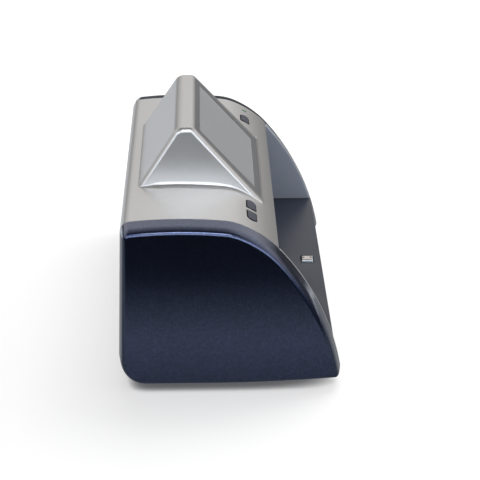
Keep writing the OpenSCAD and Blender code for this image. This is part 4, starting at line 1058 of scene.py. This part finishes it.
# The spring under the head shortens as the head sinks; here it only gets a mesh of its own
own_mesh(inner["head_spring"])
for key in KEYS:
    plunger = key.replace("_key", "_plunger")
    dress(plunger, plunger + "_piece", inner_black, "switch", 0.1, body=key + "_body")
dress("head_holder", "head_holder_piece", inner_black, "inner_plastic", 0.15, body="magnetic_head_body")


# ---- screws
# Radius and height of the head, radius and length of the shank
CASE_SCREW, BOARD_SCREW = (2.75, 1.8, 1.3, 10.8), (2.0, 1.4, 1.0, 7.0)
CASE_SCREW_LIFT, FRAME_SCREW_IN = 2.2, 1.8
REAR_POST, FRONT_POST = (FRAME_IN - 16.5, -HEEL_R), (FRAME_IN - 5.0, 20.0 - BODY_D)
CAP_POSTS = ((-18, CAP_H - 19), (-18, 24), (-72, CAP_H - 16), (42 - BODY_D, 15))
MAIN_BOARD_X, MAIN_BOARD_Y, CAMERA_SCREW = 0.084, (0.0525, -0.0195), 0.011
FLANGE_GAP, FLANGE_T, FLANGE_LAP, STEM_H = 0.6, 1.2, 0.65, 1.0
PLUNGER_H, SWITCH_H, BOARD_T = 1.5, 3.5, 1.6
HOLDER_EAR, GUIDE_WALL, GUIDE_EAR, GUIDE_DROP, GUIDE_EAR_T = 2, 2.4, 5, 7, 2


def cross_screw(head_r, head_h, shank_r, length, edge=0.35):
    """A pan-head screw pointing up from z = 0, with a cross recess in its underside."""
    profile = [(head_r * 0.55, 0.0)]
    profile += [(head_r - edge * (1 - sin(a)), edge * (1 - cos(a))) for a in (30, 60, 90)]
    profile += [(head_r, head_h), (shank_r, head_h), (shank_r, length - shank_r), (edge, length)]
    rings = [[mm(r * cos(a), r * sin(a), z) for a in range(0, 360, 12)] for r, z in profile]
    screw = from_bmesh("one", loft(rings), 30)
    for turn in (0, 90):
        arm = bmesh.new()
        bmesh.ops.create_cube(arm, size=1.0)
        bmesh.ops.scale(arm, vec=mm(head_r * 1.15, head_r * 0.26, head_h * 1.1), verts=arm.verts)
        bmesh.ops.rotate(arm, matrix=Matrix.Rotation(radians(turn), 3, "Z"), verts=arm.verts)
        cut(screw, from_bmesh("tool", arm))
    return resharpen(screw, 30)


def case_screw_places():
    """Up through the base into its posts, and outwards through the side frames into the caps."""
    rise = lift_r - sqrt(lift_r ** 2 - (FRONT_POST[1] + LIFT_START) ** 2)
    places = [(seat(s * x, y, CASE_SCREW_LIFT + z), (0, 0, 0))
              for (x, y), z in ((REAR_POST, 0), (FRONT_POST, rise)) for s in (-1, 1)]
    for y, z in CAP_POSTS:
        places += [(seat(s * (FRAME_IN - FRAME_SCREW_IN), y, z), (0, s * pi / 2, 0)) for s in (-1, 1)]
    return places


def board_screw_places():
    """Down into the main and camera boards, up into the key boards and the head's guide."""
    head_r, head_h = BOARD_SCREW[:2]
    down, head = (pi, 0, 0), head_h * MM
    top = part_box("main_board")[1].z + head
    places = [(Vector((s * MAIN_BOARD_X, y, top)), down) for s in (-1, 1) for y in MAIN_BOARD_Y]
    low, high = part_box("camera_board")
    y, reach = (low.y + high.y) / 2, CAMERA_SCREW
    places += [(Vector((s * reach, y + t * reach, high.z + head)), down) for s in (-1, 1) for t in (-1, 1)]
    stack = FLANGE_GAP + FLANGE_T + STEM_H + PLUNGER_H + SWITCH_H + BOARD_T + head_h
    step = FLANGE_LAP + head_r + 0.5
    xs = [-PAIR_X + s * (PAIR_HALF + KEY_W + step) for s in (-1, 1)]
    xs += [POWER_X - KEY_W / 2 - step, (POWER_X + KEY_W / 2 + LIGHT_X) / 2]
    places += [(on_brow(x) @ mm(0, 0, BROW_R - WALL - stack), (radians(KEY_TURN), 0, 0)) for x in xs]
    ear_x = HEAD_W / 2 + HOLDER_EAR + GUIDE_WALL + GUIDE_EAR
    ear_z = FLOOR_Z - FLOOR_T - GUIDE_DROP - GUIDE_EAR_T - head_h
    return places + [(seat(HEAD_X + s * ear_x, -HEAD_Y, ear_z), (0, 0, 0)) for s in (-1, 1)]


case_screws = set_out("case_screw_set", cross_screw(*CASE_SCREW), case_screw_places(), bright_steel)
finished(case_screws, "casing", "bright_steel", "case_screws")
board_screws = set_out("board_screw_set", cross_screw(*BOARD_SCREW), board_screw_places(), bright_steel)
finished(board_screws, "casing", "bright_steel", "board_screws")

# ---- stage, camera and light
# Each ramp: from and to, then the values at its two ends
# The camera sees a painted contact shadow: the added glow fades where the machine closes the table in
TABLE_GLOW = (0.40, 0.85, 0.08, 0.56)              # how open a spot is; the light it adds
# The painted reflection: an emission that only gloss sees, bright near the machine and dark beyond
SHEET = (-0.315, -0.222, 0.035, 0.50)              # along X; what gloss sees of the table
NEAR_SIDE, FAR_SIDE = (-0.205, -0.145, 1.0, 0.6), (0.14, 0.2, 0.0, 1.35)
BEYOND, BEYOND_END, BEYOND_LEFT = (0.2, 0.4), (0.3, 0.1), (0.0, 1.0, 1.0, 0.08)
ROOM_LOW, ROOM_HIGH = (0.10, 0.34, 0.08, 0.93), (0.62, 0.88, 1.0, 0.12)
WALL_SIDE, WALL_LOW, WALL_HIGH = (-0.5, -0.8, 0.0, 2.7), (0.03, 0.14), (0.62, 0.35)


def white_table():
    """A matt white table, clear from below. The camera sees it almost evenly lit, with a painted contact
    shadow where the machine closes it in; gloss sees a painted reflection, bright near the machine and
    dark beyond."""
    mat = moulded("table_white", (186, 186, 186), 60.0, 0.0, 0.7, 0.0, Specular_IOR_Level=0.0)
    net = Net(mat.node_tree)
    out = next(n for n in net.tree.nodes if n.type == "OUTPUT_MATERIAL").inputs[0]
    lit = out.links[0].from_socket
    path = net.node("LightPath").outputs
    seen = net.maths("MAXIMUM", path["Is Camera Ray"], path["Is Transmission Ray"])
    open_sky = net.node("AmbientOcclusion", {"Distance": 0.007}, samples=8).outputs["AO"]
    # Painted contact shadow: an emission that fades where the table is closed in
    painted_glow = net.source("Emission", WHITE, net.ramp(open_sky, *TABLE_GLOW))
    evenly = net.either(seen, lit, net.first("AddShader", {0: lit, 1: painted_glow}))
    across, along = net.node("SeparateXYZ", {0: net.where()}).outputs[:2]
    close = net.maths("ADD", net.ramp(across, *NEAR_SIDE), net.ramp(across, *FAR_SIDE))
    beyond = net.times(net.ramp(across, *BEYOND), net.ramp(along, *BEYOND_END))
    close = net.times(close, net.ramp(beyond, *BEYOND_LEFT))
    # Painted reflection: emission seen only by gloss rays
    sheet = net.source("Emission", (0.90, 0.95, 1.0, 1.0),
                       net.times(net.ramp(across, *SHEET), close))
    above = net.either(path["Is Glossy Ray"], evenly, sheet)
    below = net.node("NewGeometry").outputs["Backfacing"]
    net.put(out, net.either(below, above, net.first("BsdfTransparent")))
    return mat


def studio_world():
    """White to the camera and a soft grey for lighting; gloss sees a room with a dark foot, a dim
    ceiling and one lit wall."""
    world = bpy.data.worlds.new("studio")
    scene.world = world
    world.use_nodes = True
    world.node_tree.nodes.clear()
    net = Net(world.node_tree)
    path = net.node("LightPath").outputs
    across, _, height = net.node("SeparateXYZ", {0: net.where("Generated")}).outputs
    room = net.times(net.ramp(height, *ROOM_LOW), net.ramp(height, *ROOM_HIGH))
    band = net.times(net.ramp(height, *WALL_LOW), net.ramp(height, *WALL_HIGH))
    wall = net.source("Background", (0.78, 0.88, 1.0, 1.0),
                      net.times(net.ramp(across, *WALL_SIDE), band))
    sky = net.source("Background", WHITE, room)
    gloss = net.first("AddShader", {0: sky, 1: wall})
    unseen = net.either(path["Is Glossy Ray"], net.source("Background", WHITE, 0.50), gloss)
    seen = net.maths("MAXIMUM", path["Is Camera Ray"], path["Is Transmission Ray"])
    net.node("OutputWorld", {0: net.either(seen, unseen, net.source("Background", WHITE, 1.0))})


def softbox(name, place, aim, size, radiance, color=(1, 1, 1)):
    data = bpy.data.lights.new(name, "AREA")
    data.shape, data.size, data.size_y = "RECTANGLE", size[0], size[1]
    data.energy, data.color = 4 * radiance * size[0] * size[1], color
    lamp = add_object(name, data)
    lamp.location = place
    lamp.rotation_euler = (Vector(aim) - Vector(place)).to_track_quat("-Z", "Y").to_euler()
    lamp.visible_camera = False
    return lamp


sheet_mesh = bpy.data.meshes.new("table")
sheet_mesh.from_pydata([(-6, -6, 0), (6, -6, 0), (6, 6, 0), (-6, 6, 0)], [], [(0, 1, 2, 3)])
table = add_object("table", sheet_mesh)
paint(table, white_table())
studio_world()

strip = softbox("strip", (-1.11, -0.12, 1.48), (-0.13, 0, 0.1), (0.8, 0.42), 6.5, (0.84, 0.91, 1.0))
strip.visible_diffuse = False
for name, place, size, radiance in (("overhead", (0.7, -0.3, 1.3), (1.1, 0.9), 3.6),
                                    ("front", (0.3, -1.3, 0.75), (0.9, 0.7), 3.0)):
    softbox(name, place, (0, 0, 0.06), size, radiance).visible_glossy = False

camera = add_object("camera", bpy.data.cameras.new("camera"))
camera.data.sensor_width = 36.0
camera.data.lens = 128.2616
camera.location = (-1.126866, 0.015537, 0.523562)
camera.rotation_euler = Vector((0.92097, -0.02031, -0.38911)).to_track_quat("-Z", "Y").to_euler()
camera.data.clip_start, camera.data.clip_end = 0.05, 20.0
scene.camera = camera
scene.view_settings.view_transform = "Standard"
